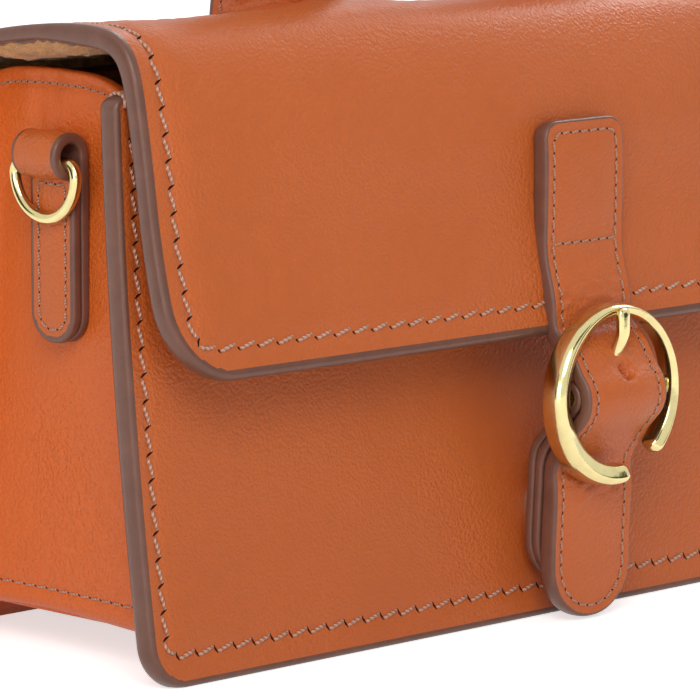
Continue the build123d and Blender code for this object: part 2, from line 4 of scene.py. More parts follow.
import bpy
import numpy as np
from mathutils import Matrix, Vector


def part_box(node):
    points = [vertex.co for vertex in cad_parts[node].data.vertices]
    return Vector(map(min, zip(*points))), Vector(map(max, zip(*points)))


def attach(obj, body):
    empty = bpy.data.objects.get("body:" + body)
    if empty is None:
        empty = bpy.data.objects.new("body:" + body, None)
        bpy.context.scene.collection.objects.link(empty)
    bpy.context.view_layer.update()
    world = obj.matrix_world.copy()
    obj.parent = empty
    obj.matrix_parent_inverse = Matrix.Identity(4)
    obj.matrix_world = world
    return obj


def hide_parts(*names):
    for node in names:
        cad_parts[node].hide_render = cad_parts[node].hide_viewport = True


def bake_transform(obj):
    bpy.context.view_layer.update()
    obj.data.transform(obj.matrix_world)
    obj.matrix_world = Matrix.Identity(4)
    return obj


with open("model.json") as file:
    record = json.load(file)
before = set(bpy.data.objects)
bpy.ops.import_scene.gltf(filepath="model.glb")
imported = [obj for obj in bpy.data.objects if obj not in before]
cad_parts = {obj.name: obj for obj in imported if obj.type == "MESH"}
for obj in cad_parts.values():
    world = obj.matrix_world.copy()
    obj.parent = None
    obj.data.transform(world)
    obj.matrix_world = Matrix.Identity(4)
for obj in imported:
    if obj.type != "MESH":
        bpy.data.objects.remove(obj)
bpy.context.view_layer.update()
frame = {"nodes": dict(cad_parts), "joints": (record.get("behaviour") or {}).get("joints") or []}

bl_info = {
    "name": "Edge-painted sling bag",
    "version": (1, 0, 0),
    "blender": (4, 5, 0),
    "location": "View3D > Sidebar > Sling bag",
    "description": "Leather, thread, suede and brass of a small flap-over bag, built on its CAD frame",
    "category": "Object",
}

MM = 0.001


# ------------------------------------------------------------------ places taken from the frame, in mm
def box_mm(node):
    """Lowest and highest corner of a CAD node."""
    low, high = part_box(node)
    return np.array(low) / MM, np.array(high) / MM


def pivot_mm(joint):
    found = [j for j in frame["joints"] if j["name"] == joint]
    return np.array(found[0]["pos_m"]) / MM


PANEL_LOW, PANEL_HIGH = box_mm("front_panel")
HALF = PANEL_HIGH[0]
PANEL_TOP = PANEL_HIGH[2]
FRONT_FOOT = PANEL_LOW[1]
BACK_FOOT = box_mm("back_panel")[1][1]
HINGE_Y, HINGE_Z = pivot_mm("flap_hinge")[1:]
BAR_Y, RING_Z = pivot_mm("buckle_swing")[1:]
RING_LOW, RING_HIGH = box_mm("buckle_ring")
RING_X = (RING_LOW[0] + RING_HIGH[0]) / 2
RING_OUTER_R = (RING_HIGH[0] - RING_LOW[0]) / 2
RING_Y = RING_LOW[1] + 1.7
STRAP_HALF = box_mm("closure_strap")[1][0]
STRAP_TOP = box_mm("closure_strap")[1][2]
STRAP_TIP = box_mm("closure_strap")[0][2]
TAB_BOTTOM = box_mm("buckle_tab")[0][2]
D_TAB_LOW, D_TAB_HIGH = box_mm("d_ring_tab_left")
HANDLE_LOW, HANDLE_HIGH = box_mm("handle_cover_outer")
BASE_Z = box_mm("gusset_left")[0][2]

# ------------------------------------------------------------------ sizes of the leatherwork, in mm
PANEL_T = 2.3
FLANGE_T = 2.0
PANEL_BOW = 1.6          # panels are pulled in this much half way up
FRONT_LEAN = 9.5         # how far each panel's top lies inwards of its foot
BACK_LEAN = 17.0
CORNER_R = 8.0
TOP_CORNER_R = 2.2
INSET = 9.0              # gusset's distance inside the panels' outline
CROWN_RISE = 4.2
CROWN_DROP = 1.5
FOOT_TURN = 2.4          # radius at which the gusset turns under into the base
BASE_HALF = 88.9         # half the base's length, up to the turned edges of the gussets
GUSSET_TURN_R = 2.6      # radius between the gusset's wall and its flanges
WALL_AT = 10.5           # along a gusset from its edge to where its seams start
HEM_SEAM_Z = PANEL_TOP - 2.6
FOOT_SEAM_Z = BASE_Z + 4.4
FINE_THREAD = 0.5        # width of the thread on straps, hems and the handle
D_WIRE = 2.1
D_SHOULDER = 2.6
FLAP_T = 3.7             # flap leather and suede, painted as one edge
BAND_T = 2.0             # flap leather alone
FLAP_CORNER_R = 14.0
STRAP_T = 3.5
STRAP_TIP_R = 10.0
STRAP_SEAM = 2.2
STRAP_TOP_R = 3.6
STRAP_END = 1.4          # the strap goes this much further up than its backing's top
STRAP_BOX = 20.3         # height of the box of stitches that holds the strap to the flap
STRAP_BOX_R = 2.2
BAR_WIRE = 2.8
D_TAB_SEAM = 2.3
RING_THICK = 3.15        # its mean width in its plane
RING_SHIFT = (0.95, 0.83)  # it gets so much wider to the left and down, and narrower to the right and up
RING_BACK = 1.7          # its flat back, behind the middle of the solid one
RING_GAP = (-77.0, -49.0)
TAB_T = 1.8
HANDLE_T = 7.0
HANDLE_SEAM = 3.2
HANDLE_BEND_R = 27.0
PANEL_SEAM_SHIFT = 1.9   # the panels' seam runs this much closer to the sides than to the bottom
FLAP_SEAM_SHIFT = 0.4    # and the flap's
FLAP_SEAM_R = 4.5        # and turn the flap's corners at this radius
CORNER_HOLD = 1.1        # the flap's corners are held back this far
BOTTOM_SEAM_REACH = 40.0  # above this height the seam's depth counts from the sides alone
BAND_LENGTH = 27.5       # of the flap leather below the hinge, sewn to the back panel
SUEDE_EDGE = 1.6         # from the cut edge of the flap leather to that of its suede
BULGE = 0.8              # how far a painted edge swells past the cut
RIM = 0.45               # paint that laps onto the face

# The flap's outer face in side view, from its front edge over the top to the foot of the band that is
# sewn to the back: distances behind and above the hinge axis.
FLAP_LINE = [
    (-66.5, -50.0), (-65.0, -44.0), (-63.4, -38.5), (-61.4, -31.8), (-59.4, -23.0), (-57.9, -14.0),
    (-56.0, -4.5),
    (-54.6, 2.2), (-52.0, 6.9), (-47.0, 9.3), (-38.5, 9.6), (-27.0, 8.8), (-15.0, 7.2), (-7.0, 4.5),
    (-1.6, 1.8), (0.9, 0.4), (1.2, -2.6), (2.2, -13.0), (3.5, -24.0), (3.9, -27.3),
]


def srgb(text):
    """A hex colour as linear red, green and blue."""
    values = np.array([int(text[i:i + 2], 16) for i in (1, 3, 5)]) / 255
    return tuple(np.where(values <= 0.04045, values / 12.92, ((values + 0.055) / 1.055) ** 2.4))


class SlingBagSizes(bpy.types.PropertyGroup):
    stitch_pitch: bpy.props.FloatProperty(
        name="Stitch pitch", description="Length of one stitch round the panels and the flap",
        default=4.5 * MM, unit="LENGTH")
    fine_pitch: bpy.props.FloatProperty(
        name="Fine stitch pitch", description="Length of one stitch on straps, hems and the handle",
        default=2.4 * MM, unit="LENGTH")
    thread_width: bpy.props.FloatProperty(
        name="Thread width", description="Width of the heavy thread", default=0.72 * MM, unit="LENGTH")
    seam_margin: bpy.props.FloatProperty(
        name="Seam margin", description="From the lower edge of a panel to its seam",
        default=5.6 * MM, unit="LENGTH")
    draw_in: bpy.props.FloatProperty(
        name="Draw-in", description="How far the strap draws the flap's lower edge in",
        default=1.4 * MM, unit="LENGTH")


class SlingBagColours(bpy.types.PropertyGroup):
    leather: bpy.props.FloatVectorProperty(
        name="Leather", description="Tan calf leather", default=srgb("#C36028"), subtype="COLOR")
    paint: bpy.props.FloatVectorProperty(
        name="Edge paint", description="Taupe edge paint", default=srgb("#70493B"), subtype="COLOR")
    suede: bpy.props.FloatVectorProperty(
        name="Suede", description="Golden suede inside the flap", default=srgb("#E3A049"), subtype="COLOR")
    brass: bpy.props.FloatVectorProperty(
        name="Brass", description="Pale polished brass", default=srgb("#DDCF96"), subtype="COLOR")
    thread: bpy.props.FloatVectorProperty(
        name="Thread", description="Waxed thread", default=srgb("#D29C82"), subtype="COLOR")


# ------------------------------------------------------------------ materials
def add(tree, kind, inputs=None, **settings):
    """Adds a node, sets its properties, and fills or links its inputs by name or number."""
    node = tree.nodes.new(kind)
    for name, value in settings.items():
        setattr(node, name, value)
    for name, value in (inputs or {}).items():
        socket = node.inputs[name]
        if isinstance(value, bpy.types.NodeSocket):
            tree.links.new(value, socket)
        else:
            socket.default_value = value
    return node


def per_mm(size):
    """Texture scale whose features are about this many millimetres wide."""
    return 1 / (size * MM)


def new_material(name):
    material = bpy.data.materials.new(name)
    material.use_nodes = True
    tree = material.node_tree
    tree.nodes.clear()
    shader = add(tree, "ShaderNodeBsdfPrincipled")
    add(tree, "ShaderNodeOutputMaterial", {"Surface": shader.outputs[0]})
    return material, tree, shader


def rgba(colour, gain=1.0):
    return (*[min(1.0, c * gain) for c in colour], 1.0)


def object_place(tree):
    return add(tree, "ShaderNodeTexCoord").outputs["Object"]


def surface(tree, shader, tone, normal=None, **values):
    """Links a shader's colour and bump, and sets its other inputs, named by their words joined with _."""
    tree.links.new(tone, shader.inputs["Base Color"])
    if normal:
        tree.links.new(normal, shader.inputs["Normal"])
    for name, value in values.items():
        shader.inputs[name.replace("_", " ")].default_value = value


def two_tones(tree, factor, low, high):
    """Blends two colours by a factor."""
    node = add(tree, "ShaderNodeMix", {0: factor, 6: low, 7: high}, data_type="RGBA")
    return node.outputs[2]


def levels(tree, value, low, high):
    """Stretches the values between low and high to 0 and 1."""
    node = add(tree, "ShaderNodeMapRange", {"Value": value, "From Min": low, "From Max": high})
    return node.outputs[0]


def calf_leather(name, colour, grain=0.15, crease=0.0):
    """Tan calf leather, drum dyed, plated and lightly glazed.

    The plating leaves a fine flat pebble, about 0.7 mm, with pores between; it is stronger in some places
    than in others. The glaze gives a soft satin highlight, and the dye clouds over about 30 mm.
    """
    material, tree, shader = new_material(name)
    place = object_place(tree)
    cloud = add(tree, "ShaderNodeTexNoise", {"Vector": place, "Scale": per_mm(32), "Detail": 3.0})
    mottle = add(tree, "ShaderNodeTexNoise", {"Vector": place, "Scale": per_mm(2.6), "Detail": 3.0})
    clouds = levels(tree, cloud.outputs[0], 0.3, 0.7)
    mottles = levels(tree, mottle.outputs[0], 0.35, 0.75)
    clouded = two_tones(tree, clouds, rgba(colour, 0.93), rgba(colour, 1.05))
    mottled = two_tones(tree, mottles, rgba(colour, 0.95), rgba(colour, 1.07))
    warped = add(tree, "ShaderNodeTexNoise", {"Vector": place, "Scale": per_mm(1.6), "Detail": 2.0})
    bent = add(tree, "ShaderNodeVectorMath", {0: warped.outputs[1], 1: (0.0009,) * 3}, operation="MULTIPLY")
    moved = add(tree, "ShaderNodeVectorMath", {0: place, 1: bent.outputs[0]}, operation="ADD")
    pebble = add(tree, "ShaderNodeTexVoronoi",
                 {"Vector": moved.outputs[0], "Scale": per_mm(0.66), "Smoothness": 0.5}, feature="SMOOTH_F1")
    pores = add(tree, "ShaderNodeTexNoise", {"Vector": place, "Scale": per_mm(0.34), "Detail": 2.0})
    where = levels(tree, cloud.outputs[0], 0.35, 0.65)
    strength = add(tree, "ShaderNodeMath", {0: where, 1: 0.7, 2: 0.3}, operation="MULTIPLY_ADD")
    grainy = add(tree, "ShaderNodeMath", {0: pebble.outputs[0], 1: strength.outputs[0]},
                 operation="MULTIPLY")
    height = add(tree, "ShaderNodeMath", {0: pores.outputs[0], 1: -0.35, 2: grainy.outputs[0]},
                 operation="MULTIPLY_ADD")
    bump = add(tree, "ShaderNodeBump",
               {"Height": height.outputs[0], "Distance": grain * MM * 2, "Strength": 0.75}, invert=True)
    if crease > 0:
        lines = add(tree, "ShaderNodeTexNoise",
                    {"Vector": place, "Scale": per_mm(5), "Detail": 4.0, "Distortion": 1.2})
        ridged = add(tree, "ShaderNodeMath", {0: lines.outputs[0], 1: 0.5}, operation="SUBTRACT")
        folded = add(tree, "ShaderNodeMath", {0: ridged.outputs[0]}, operation="ABSOLUTE")
        bump = add(tree, "ShaderNodeBump",
                   {"Height": folded.outputs[0], "Distance": crease * MM, "Normal": bump.outputs[0]})
    rough = add(tree, "ShaderNodeMapRange", {"Value": mottle.outputs[0], "To Min": 0.37, "To Max": 0.51})
    tree.links.new(rough.outputs[0], shader.inputs["Roughness"])
    surface(tree, shader, two_tones(tree, 0.4, clouded, mottled), bump.outputs[0],
            Specular_IOR_Level=0.36, Coat_Weight=0.06, Coat_Roughness=0.25)
    return material


def edge_paint(name, colour):
    """Acrylic edge paint, laid on in coats and burnished: satin, slightly wavy and uneven in tone."""
    material, tree, shader = new_material(name)
    place = object_place(tree)
    blotch = add(tree, "ShaderNodeTexNoise", {"Vector": place, "Scale": per_mm(4), "Detail": 4.0})
    dust = add(tree, "ShaderNodeTexNoise", {"Vector": place, "Scale": per_mm(0.5), "Detail": 2.0})
    tone = two_tones(tree, levels(tree, blotch.outputs[0], 0.3, 0.7), rgba(colour, 0.86), rgba(colour, 1.1))
    bump = add(tree, "ShaderNodeBump", {"Height": dust.outputs[0], "Distance": 0.05 * MM, "Strength": 0.5})
    wave = add(tree, "ShaderNodeBump", {"Height": blotch.outputs[0], "Distance": 0.25 * MM, "Strength": 0.6,
                                        "Normal": bump.outputs[0]})
    surface(tree, shader, tone, wave.outputs[0], Roughness=0.36, Specular_IOR_Level=0.4)
    return material


def suede(name, colour):
    """Split suede, buffed to a short nap.

    The nap scatters light, lies in patches of darker and lighter tone, and is matt with a soft sheen.
    """
    material, tree, shader = new_material(name)
    place = object_place(tree)
    patch = add(tree, "ShaderNodeTexNoise",
                {"Vector": place, "Scale": per_mm(3.0), "Detail": 5.0, "Roughness": 0.7})
    nap = add(tree, "ShaderNodeTexNoise",
              {"Vector": place, "Scale": per_mm(0.45), "Detail": 3.0, "Roughness": 0.8})
    mixed = add(tree, "ShaderNodeMath", {0: patch.outputs[0], 1: nap.outputs[0]}, operation="MULTIPLY")
    naps = levels(tree, mixed.outputs[0], 0.14, 0.38)
    tone = two_tones(tree, naps, rgba(colour, 0.55), rgba(colour, 1.25))
    bump = add(tree, "ShaderNodeBump", {"Height": nap.outputs[0], "Distance": 0.5 * MM, "Strength": 0.9})
    surface(tree, shader, tone, bump.outputs[0], Roughness=0.95, Specular_IOR_Level=0.1, Sheen_Weight=0.5,
            Sheen_Roughness=0.5)
    return material


def polished_brass(name, colour, roughness=0.13):
    """Cast brass, tumbled, polished and lacquered pale gold.

    Mirror-bright with a slight orange-peel from tumbling and hair-fine wear that softens the highlights.
    """
    material, tree, shader = new_material(name)
    place = object_place(tree)
    peel = add(tree, "ShaderNodeTexNoise", {"Vector": place, "Scale": per_mm(2.2), "Detail": 2.0})
    wear = add(tree, "ShaderNodeTexNoise",
               {"Vector": place, "Scale": per_mm(0.6), "Detail": 4.0, "Distortion": 2.0})
    tone = two_tones(tree, levels(tree, peel.outputs[0], 0.3, 0.7), rgba(colour, 0.93), rgba(colour, 1.04))
    rough = add(tree, "ShaderNodeMapRange", {"Value": wear.outputs[0], "From Min": 0.3, "From Max": 0.75,
                                             "To Min": roughness * 0.7, "To Max": roughness * 1.6})
    bump = add(tree, "ShaderNodeBump", {"Height": peel.outputs[0], "Distance": 0.06 * MM, "Strength": 0.5})
    tree.links.new(rough.outputs[0], shader.inputs["Roughness"])
    surface(tree, shader, tone, bump.outputs[0], Metallic=1.0)
    return material


def nickel_plate(name):
    """Steel pressing, barrel plated with nickel: grey, satin, with a fine even roughness."""
    material, tree, shader = new_material(name)
    place = object_place(tree)
    grit = add(tree, "ShaderNodeTexNoise", {"Vector": place, "Scale": per_mm(0.4), "Detail": 3.0})
    tone = two_tones(tree, grit.outputs[0], rgba(srgb("#A9A59B")), rgba(srgb("#CFCBC0")))
    bump = add(tree, "ShaderNodeBump", {"Height": grit.outputs[0], "Distance": 0.03 * MM})
    surface(tree, shader, tone, bump.outputs[0], Metallic=1.0, Roughness=0.32)
    return material


def microfibre(name, colour):
    """Microfibre lining cloth, warp knitted and brushed: matt, soft, with a tight 0.5 mm texture."""
    material, tree, shader = new_material(name)
    place = object_place(tree)
    knit = add(tree, "ShaderNodeTexVoronoi", {"Vector": place, "Scale": per_mm(0.7)}, feature="F1")
    fluff = add(tree, "ShaderNodeTexNoise", {"Vector": place, "Scale": per_mm(6), "Detail": 4.0})
    tone = two_tones(tree, levels(tree, fluff.outputs[0], 0.3, 0.7), rgba(colour, 0.85), rgba(colour, 1.1))
    bump = add(tree, "ShaderNodeBump", {"Height": knit.outputs[0], "Distance": 0.15 * MM, "Strength": 0.7})
    surface(tree, shader, tone, bump.outputs[0], Roughness=0.9, Specular_IOR_Level=0.15, Sheen_Weight=0.3)
    return material


def waxed_thread(name, colour):
    """Bonded polyester thread of two twisted plies, waxed.

    The twist shows as slanting ribs, about four to a stitch; the wax gives each rib a small glint, and the
    colour
    is painted darker in the grooves as shade and lighter on the crests as highlight. It reads the piece's own
    map:
    along the stitch, and round it.
    """
    material, tree, shader = new_material(name)
    uv = add(tree, "ShaderNodeUVMap", uv_map="along").outputs[0]
    parts = add(tree, "ShaderNodeSeparateXYZ", {0: uv})
    slant = add(tree, "ShaderNodeMath", {0: parts.outputs[1], 1: 2.0, 2: parts.outputs[0]},
                operation="MULTIPLY_ADD")
    turn = add(tree, "ShaderNodeMath", {0: slant.outputs[0], 1: 2 * pi}, operation="MULTIPLY")
    rib = add(tree, "ShaderNodeMath", {0: turn.outputs[0]}, operation="SINE")
    # painted shade in the twist's grooves and painted highlight on its crests
    tone = two_tones(tree, levels(tree, rib.outputs[0], -1.0, 0.6), rgba(colour, 0.6), rgba(colour, 1.1))
    bump = add(tree, "ShaderNodeBump", {"Height": rib.outputs[0], "Distance": 0.12 * MM})
    surface(tree, shader, tone, bump.outputs[0], Roughness=0.35, Specular_IOR_Level=0.6)
    return material


def painted_slit_shade(name):
    """Painted shade for the inside of an awl's slit, where no light gets: near black, brown and matt."""
    material, tree, shader = new_material(name)
    place = object_place(tree)
    dust = add(tree, "ShaderNodeTexNoise", {"Vector": place, "Scale": per_mm(0.5)})
    tone = two_tones(tree, dust.outputs[0], rgba(srgb("#1A0A06")), rgba(srgb("#38180E")))
    surface(tree, shader, tone, Roughness=0.9, Specular_IOR_Level=0.1)
    return material


def grey_board(name):
    """Bookbinder's board, pressed from waste pulp: grey-brown and matt with flecks."""
    material, tree, shader = new_material(name)
    place = object_place(tree)
    fleck = add(tree, "ShaderNodeTexNoise", {"Vector": place, "Scale": per_mm(1.2), "Detail": 6.0})
    flecks = levels(tree, fleck.outputs[0], 0.35, 0.65)
    tone = two_tones(tree, flecks, rgba(srgb("#7A6A5A")), rgba(srgb("#A2917C")))
    surface(tree, shader, tone, Roughness=0.9)
    return material


def lit_gusset_colour(leather):
    """The leather's colour, painted a little redder and brighter for the gussets and base: painted light."""
    return leather[0] * 1.2, leather[1] * 1.07, leather[2] * 0.72


MATERIALS = {}


def material(name):
    """Materials are made once each, from the panel's colours."""
    if name not in MATERIALS:
        colours = bpy.context.scene.sling_bag_colours
        maker, *choices = {
            "calf leather": (calf_leather, colours.leather),
            "creased calf leather": (calf_leather, colours.leather, 0.17, 0.5),
            # a brighter, redder copy of the leather: painted light
            "gusset leather": (calf_leather, lit_gusset_colour(colours.leather), 0.2, 0.25),
            "edge paint": (edge_paint, colours.paint),
            "suede": (suede, colours.suede),
            "brass": (polished_brass, colours.brass),
            "nickel plate": (nickel_plate,),
            "microfibre": (microfibre, srgb("#A87742")),
            "waxed thread": (waxed_thread, colours.thread),
            # dark ovals of painted shade, laid where the awl's slits are
            "slit": (painted_slit_shade,),
            "grey board": (grey_board,),
        }[name]
        MATERIALS[name] = maker(name, *choices)
    return MATERIALS[name]


# ------------------------------------------------------------------ lines and grids
def bent_line(points, radii):
    """A run of straight lines with round bends, as close points.

    Each bend is the arc of its radius that touches both its lines.
    """
    points = np.array(points, float)
    pieces = [points[:1]]
    for before, corner, after, radius in zip(points, points[1:], points[2:], radii):
        into = unit(corner - before)
        out = unit(after - corner)
        side = into[0] * out[1] - into[1] * out[0]
        turn = np.arctan2(side, into @ out)
        left = np.array([-into[1], into[0]]) * np.sign(side)
        start = corner - into * radius * tan(abs(turn) / 2)
        angles = np.linspace(0, abs(turn), 2 + int(abs(turn) * 12))[:, None]
        pieces.append(start + radius * (np.sin(angles) * into + (1 - np.cos(angles)) * left))
    pieces.append(points[-1:])
    return np.concatenate(pieces)


def offset_run(points, radii, distance):
    """The same run of lines moved to its left by a distance, with its bends' radii to match."""
    points = np.array(points, float)
    ways = unit(np.diff(points, axis=0))
    lefts = np.stack([-ways[:, 1], ways[:, 0]], axis=1)
    before = np.concatenate([lefts[:1], lefts])
    after = np.concatenate([lefts, lefts[-1:]])
    share = distance / (1 + (before * after).sum(1, keepdims=True))
    turns = ways[:-1, 0] * ways[1:, 1] - ways[:-1, 1] * ways[1:, 0]
    return points + share * (before + after), np.array(radii) - np.sign(turns) * distance


def unit(vectors):
    return vectors / np.maximum(np.linalg.norm(vectors, axis=-1, keepdims=True), 1e-9)


def spline(rows, per_span):
    """The uniform cubic B-spline whose spans each blend the same place of four rows of points."""
    t = np.linspace(0, 1, per_span, endpoint=False)[:, None, None]
    weights = [(1 - t) ** 3, 3 * t**3 - 6 * t**2 + 4, -3 * t**3 + 3 * t**2 + 3 * t + 1, t**3]
    spans = sum(w * row for w, row in zip(weights, rows)) / 6
    return spans.transpose(1, 0, 2).reshape(-1, rows[0].shape[1])


def soft_line(points):
    """A B-spline of a list of points, held at both ends by tripled end points."""
    p = np.array(points, float)
    p = np.concatenate([p[:1], p[:1], p, p[-1:], p[-1:]])
    line = spline([p[i:len(p) - 3 + i] for i in range(4)], 12)
    return np.concatenate([line, p[-1:]])


def swollen(x, power):
    """A power of a number that keeps its sign: under 1 it squares a round, over 1 it makes ridges."""
    return np.sign(x) * np.abs(x) ** power


def round_end(share, least):
    """Size of a tube whose end is a quarter round; the share goes from 0 at the end to 1 where it is full."""
    return np.sqrt(np.clip(1 - (1 - np.clip(share, 0, 1)) ** 2, least, 1))


class Path:
    """A line that is read by the distance along it."""

    def __init__(self, points):
        keep = np.concatenate([[True], np.linalg.norm(np.diff(points, axis=0), axis=1) > 1e-6])
        self.points = points[keep]
        steps = np.linalg.norm(np.diff(self.points, axis=0), axis=1)
        self.at = np.concatenate([[0], np.cumsum(steps)])
        self.length = self.at[-1]

    def __call__(self, s):
        """Beyond its ends the line goes straight on."""
        s = np.asarray(s, float)
        inside = [np.interp(s, self.at, column) for column in self.points.T]
        head = self.points[1] - self.points[0]
        tail = self.points[-1] - self.points[-2]
        under = np.minimum(s, 0)
        over = np.maximum(s - self.length, 0)
        head = head / np.linalg.norm(head)
        tail = tail / np.linalg.norm(tail)
        return [c + under * h + over * t for c, h, t in zip(inside, head, tail)]

    def where(self, column, value):
        """Distance along at which a coordinate first comes nearest to a value."""
        return self.at[np.argmin(np.abs(self.points[:, column] - value))]


def spaced(length, step, rim_step, rim):
    """From 0 to length, rim_step apart near both ends and step apart between."""
    rim = min(rim, length * 0.45)
    ends = np.linspace(0, rim, 1 + int(np.ceil(rim / rim_step)))
    middle = np.linspace(rim, length - rim, 1 + int(np.ceil((length - 2 * rim) / step)))
    return np.concatenate([ends[:-1], middle[:-1], length - ends[::-1]])


class Outline:
    """A rectangle in a sheet's own flat millimetres, with round lower and upper corners."""

    def __init__(self, u0, u1, v0, v1, low=0.0, high=0.0):
        self.u0, self.u1, self.v0, self.v1 = u0, u1, v0, v1
        self.low, self.high = low, high

    def depth(self, u, v):
        """How far a place lies inside the border: the distance to a rounded rectangle, turned round."""
        radius = np.where(v < (self.v0 + self.v1) / 2, self.low, self.high)
        across = np.abs(u - (self.u0 + self.u1) / 2) - (self.u1 - self.u0) / 2 + radius
        along = np.abs(v - (self.v0 + self.v1) / 2) - (self.v1 - self.v0) / 2 + radius
        outside = np.hypot(np.maximum(across, 0), np.maximum(along, 0))
        return radius - outside - np.minimum(np.maximum(across, along), 0)

    def grid(self, inset, step, rim_step, rim):
        """Rows of places that fill the outline, closer together near its border.

        A row at height h above a round end of radius r starts r - sqrt(r^2 - (r - h)^2) further in.
        """
        low = max(self.low - inset, 0.0)
        high = max(self.high - inset, 0.0)
        height = self.v1 - self.v0 - 2 * inset
        rows = spaced(height, step, rim_step, rim)
        rows = rows[(rows > low) & (rows < height - high)]
        angles = np.linspace(0, pi / 2, 14)
        rows = np.concatenate([low * (1 - np.cos(angles)), rows, height - high * (1 - np.cos(angles))])
        rows = np.unique(rows.round(4))
        lower = low - np.sqrt(np.maximum(low**2 - np.maximum(low - rows, 0) ** 2, 0))
        upper = high - np.sqrt(np.maximum(high**2 - np.maximum(high - height + rows, 0) ** 2, 0))
        start = np.where(rows < height / 2, lower, upper)
        width = self.u1 - self.u0 - 2 * inset
        shares = spaced(width, step, rim_step, rim) / width
        spans = np.maximum(width - 2 * start, 0.1)
        first = self.u0 + inset + (width - spans) / 2
        u = first[:, None] + spans[:, None] * shares[None]
        v = np.broadcast_to((self.v0 + inset + rows)[:, None], u.shape)
        return u, v

    def seam(self, side, depth, v_left, v_right, radius):
        """A line of stitches down the left side, along the bottom and up the right side."""
        left, right, bottom = self.u0 + side, self.u1 - side, self.v0 + depth
        return bent_line([(left, v_left), (left, bottom), (right, bottom), (right, v_right)], [radius] * 2)


class Sheet:
    """A piece cut from a sheet: its outline, where each flat place lies, and its thickness there.

    place(u, v) is the outer face, whose normal is the cross product of the ways of u and v; relief(u, v)
    is what wrinkles, seams and padding add to it along the normal.
    """

    def __init__(self, outline, place, thick, relief=None):
        self.outline = outline
        self.place = place
        self.thick = thick
        self.relief = relief

    def bare(self, u, v):
        return np.stack(np.broadcast_arrays(*self.place(u, v)), axis=-1)

    def normal(self, u, v, e=0.05):
        along_u = self.bare(u + e, v) - self.bare(u - e, v)
        along_v = self.bare(u, v + e) - self.bare(u, v - e)
        return unit(np.cross(along_u, along_v))

    def face(self, u, v):
        height = self.relief(u, v) if self.relief else 0 * u
        return self.bare(u, v) + self.normal(u, v) * height[..., None]

    def solid(self, step=1.4, rim_step=0.45, rim=9.0, bulge=BULGE, rim_paint=RIM, rings=7):
        """Outer face, inner face and the swollen edge between them.

        The edge is half an ellipse: cos from face to face, sin outwards in the sheet's plane.
        """
        u, v = self.outline.grid(bulge, step, rim_step, rim)
        normal = self.normal(u, v)
        front = self.face(u, v)
        thick = self.thick(u, v) if callable(self.thick) else self.thick + 0 * u
        back = self.bare(u, v) - normal * thick[..., None]
        rows, columns = u.shape
        index = np.arange(rows * columns).reshape(rows, columns)
        loop = np.concatenate([index[0], index[1:, -1], index[-1, -2::-1], index[-2:0:-1, 0]])
        top, under = front.reshape(-1, 3)[loop], back.reshape(-1, 3)[loop]
        middle, half = (top + under) / 2, (top - under) / 2
        tangent = unit(np.roll(middle, -1, axis=0) - np.roll(middle, 1, axis=0))
        outward = unit(np.cross(tangent, normal.reshape(-1, 3)[loop])) * bulge
        angles = np.linspace(0, pi, rings + 1)[1:-1][:, None, None]
        edge = middle + half * swollen(np.cos(angles), 0.8) + outward * swollen(np.sin(angles), 0.8)
        points = np.concatenate([front.reshape(-1, 3), back.reshape(-1, 3), edge.reshape(-1, 3)])
        quads = np.stack([index[:-1, :-1], index[:-1, 1:], index[1:, 1:], index[1:, :-1]], -1).reshape(-1, 4)
        count = rows * columns
        between = 2 * count + np.arange(len(loop) * (rings - 1)).reshape(rings - 1, -1)
        bands = np.concatenate([loop[None], between, count + loop[None]])
        nxt = np.roll(bands, -1, axis=1)
        rim_quads = np.stack([bands[:-1], bands[1:], nxt[1:], nxt[:-1]], -1).reshape(-1, 4)
        cells_u = (u[:-1, :-1] + u[1:, 1:]) / 2
        cells_v = (v[:-1, :-1] + v[1:, 1:]) / 2
        near_rim = (self.outline.depth(cells_u, cells_v) < bulge + rim_paint).ravel()
        slots = np.concatenate([np.where(near_rim, 2, 0), np.repeat([1, 2], [len(quads), len(rim_quads)])])
        return points, np.concatenate([quads, quads[:, ::-1] + count, rim_quads]), slots


# ------------------------------------------------------------------ meshes
def new_piece(name, points, quads, body, materials, slots=None, replaces=(), tris=None, uv=None):
    """Puts arrays of points (mm) and faces into a mesh that rides on a body."""
    mesh = bpy.data.meshes.new(name)
    tris = np.zeros((0, 3), int) if tris is None else tris
    loops = np.concatenate([quads.ravel(), tris.ravel()])
    starts = np.concatenate([np.arange(len(quads)) * 4, len(quads) * 4 + np.arange(len(tris)) * 3])
    mesh.vertices.add(len(points))
    mesh.vertices.foreach_set("co", (points * MM).astype(np.float32).ravel())
    mesh.loops.add(len(loops))
    mesh.loops.foreach_set("vertex_index", loops.astype(np.int32))
    mesh.polygons.add(len(starts))
    mesh.polygons.foreach_set("loop_start", starts.astype(np.int32))
    for m in materials:
        mesh.materials.append(material(m))
    if slots is not None:
        mesh.polygons.foreach_set("material_index", slots.astype(np.int32))
    mesh.polygons.foreach_set("use_smooth", np.ones(len(starts), bool))
    if uv is not None:
        layer = mesh.uv_layers.new(name="along")
        layer.data.foreach_set("uv", uv[loops].astype(np.float32).ravel())
    mesh.update(calc_edges=True)
    piece = bpy.data.objects.new(name, mesh)
    bpy.context.scene.collection.objects.link(piece)
    if body:
        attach(piece, body)
    if replaces:
        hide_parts(*replaces)
    return piece


def sheet_piece(name, sheet, body, slot, replaces=(), face="calf leather", back="suede", edge="edge paint",
                **sizes):
    points, quads, slots = sheet.solid(**sizes)
    return new_piece(name, points, quads, body, [face, back, edge], slots, replaces)


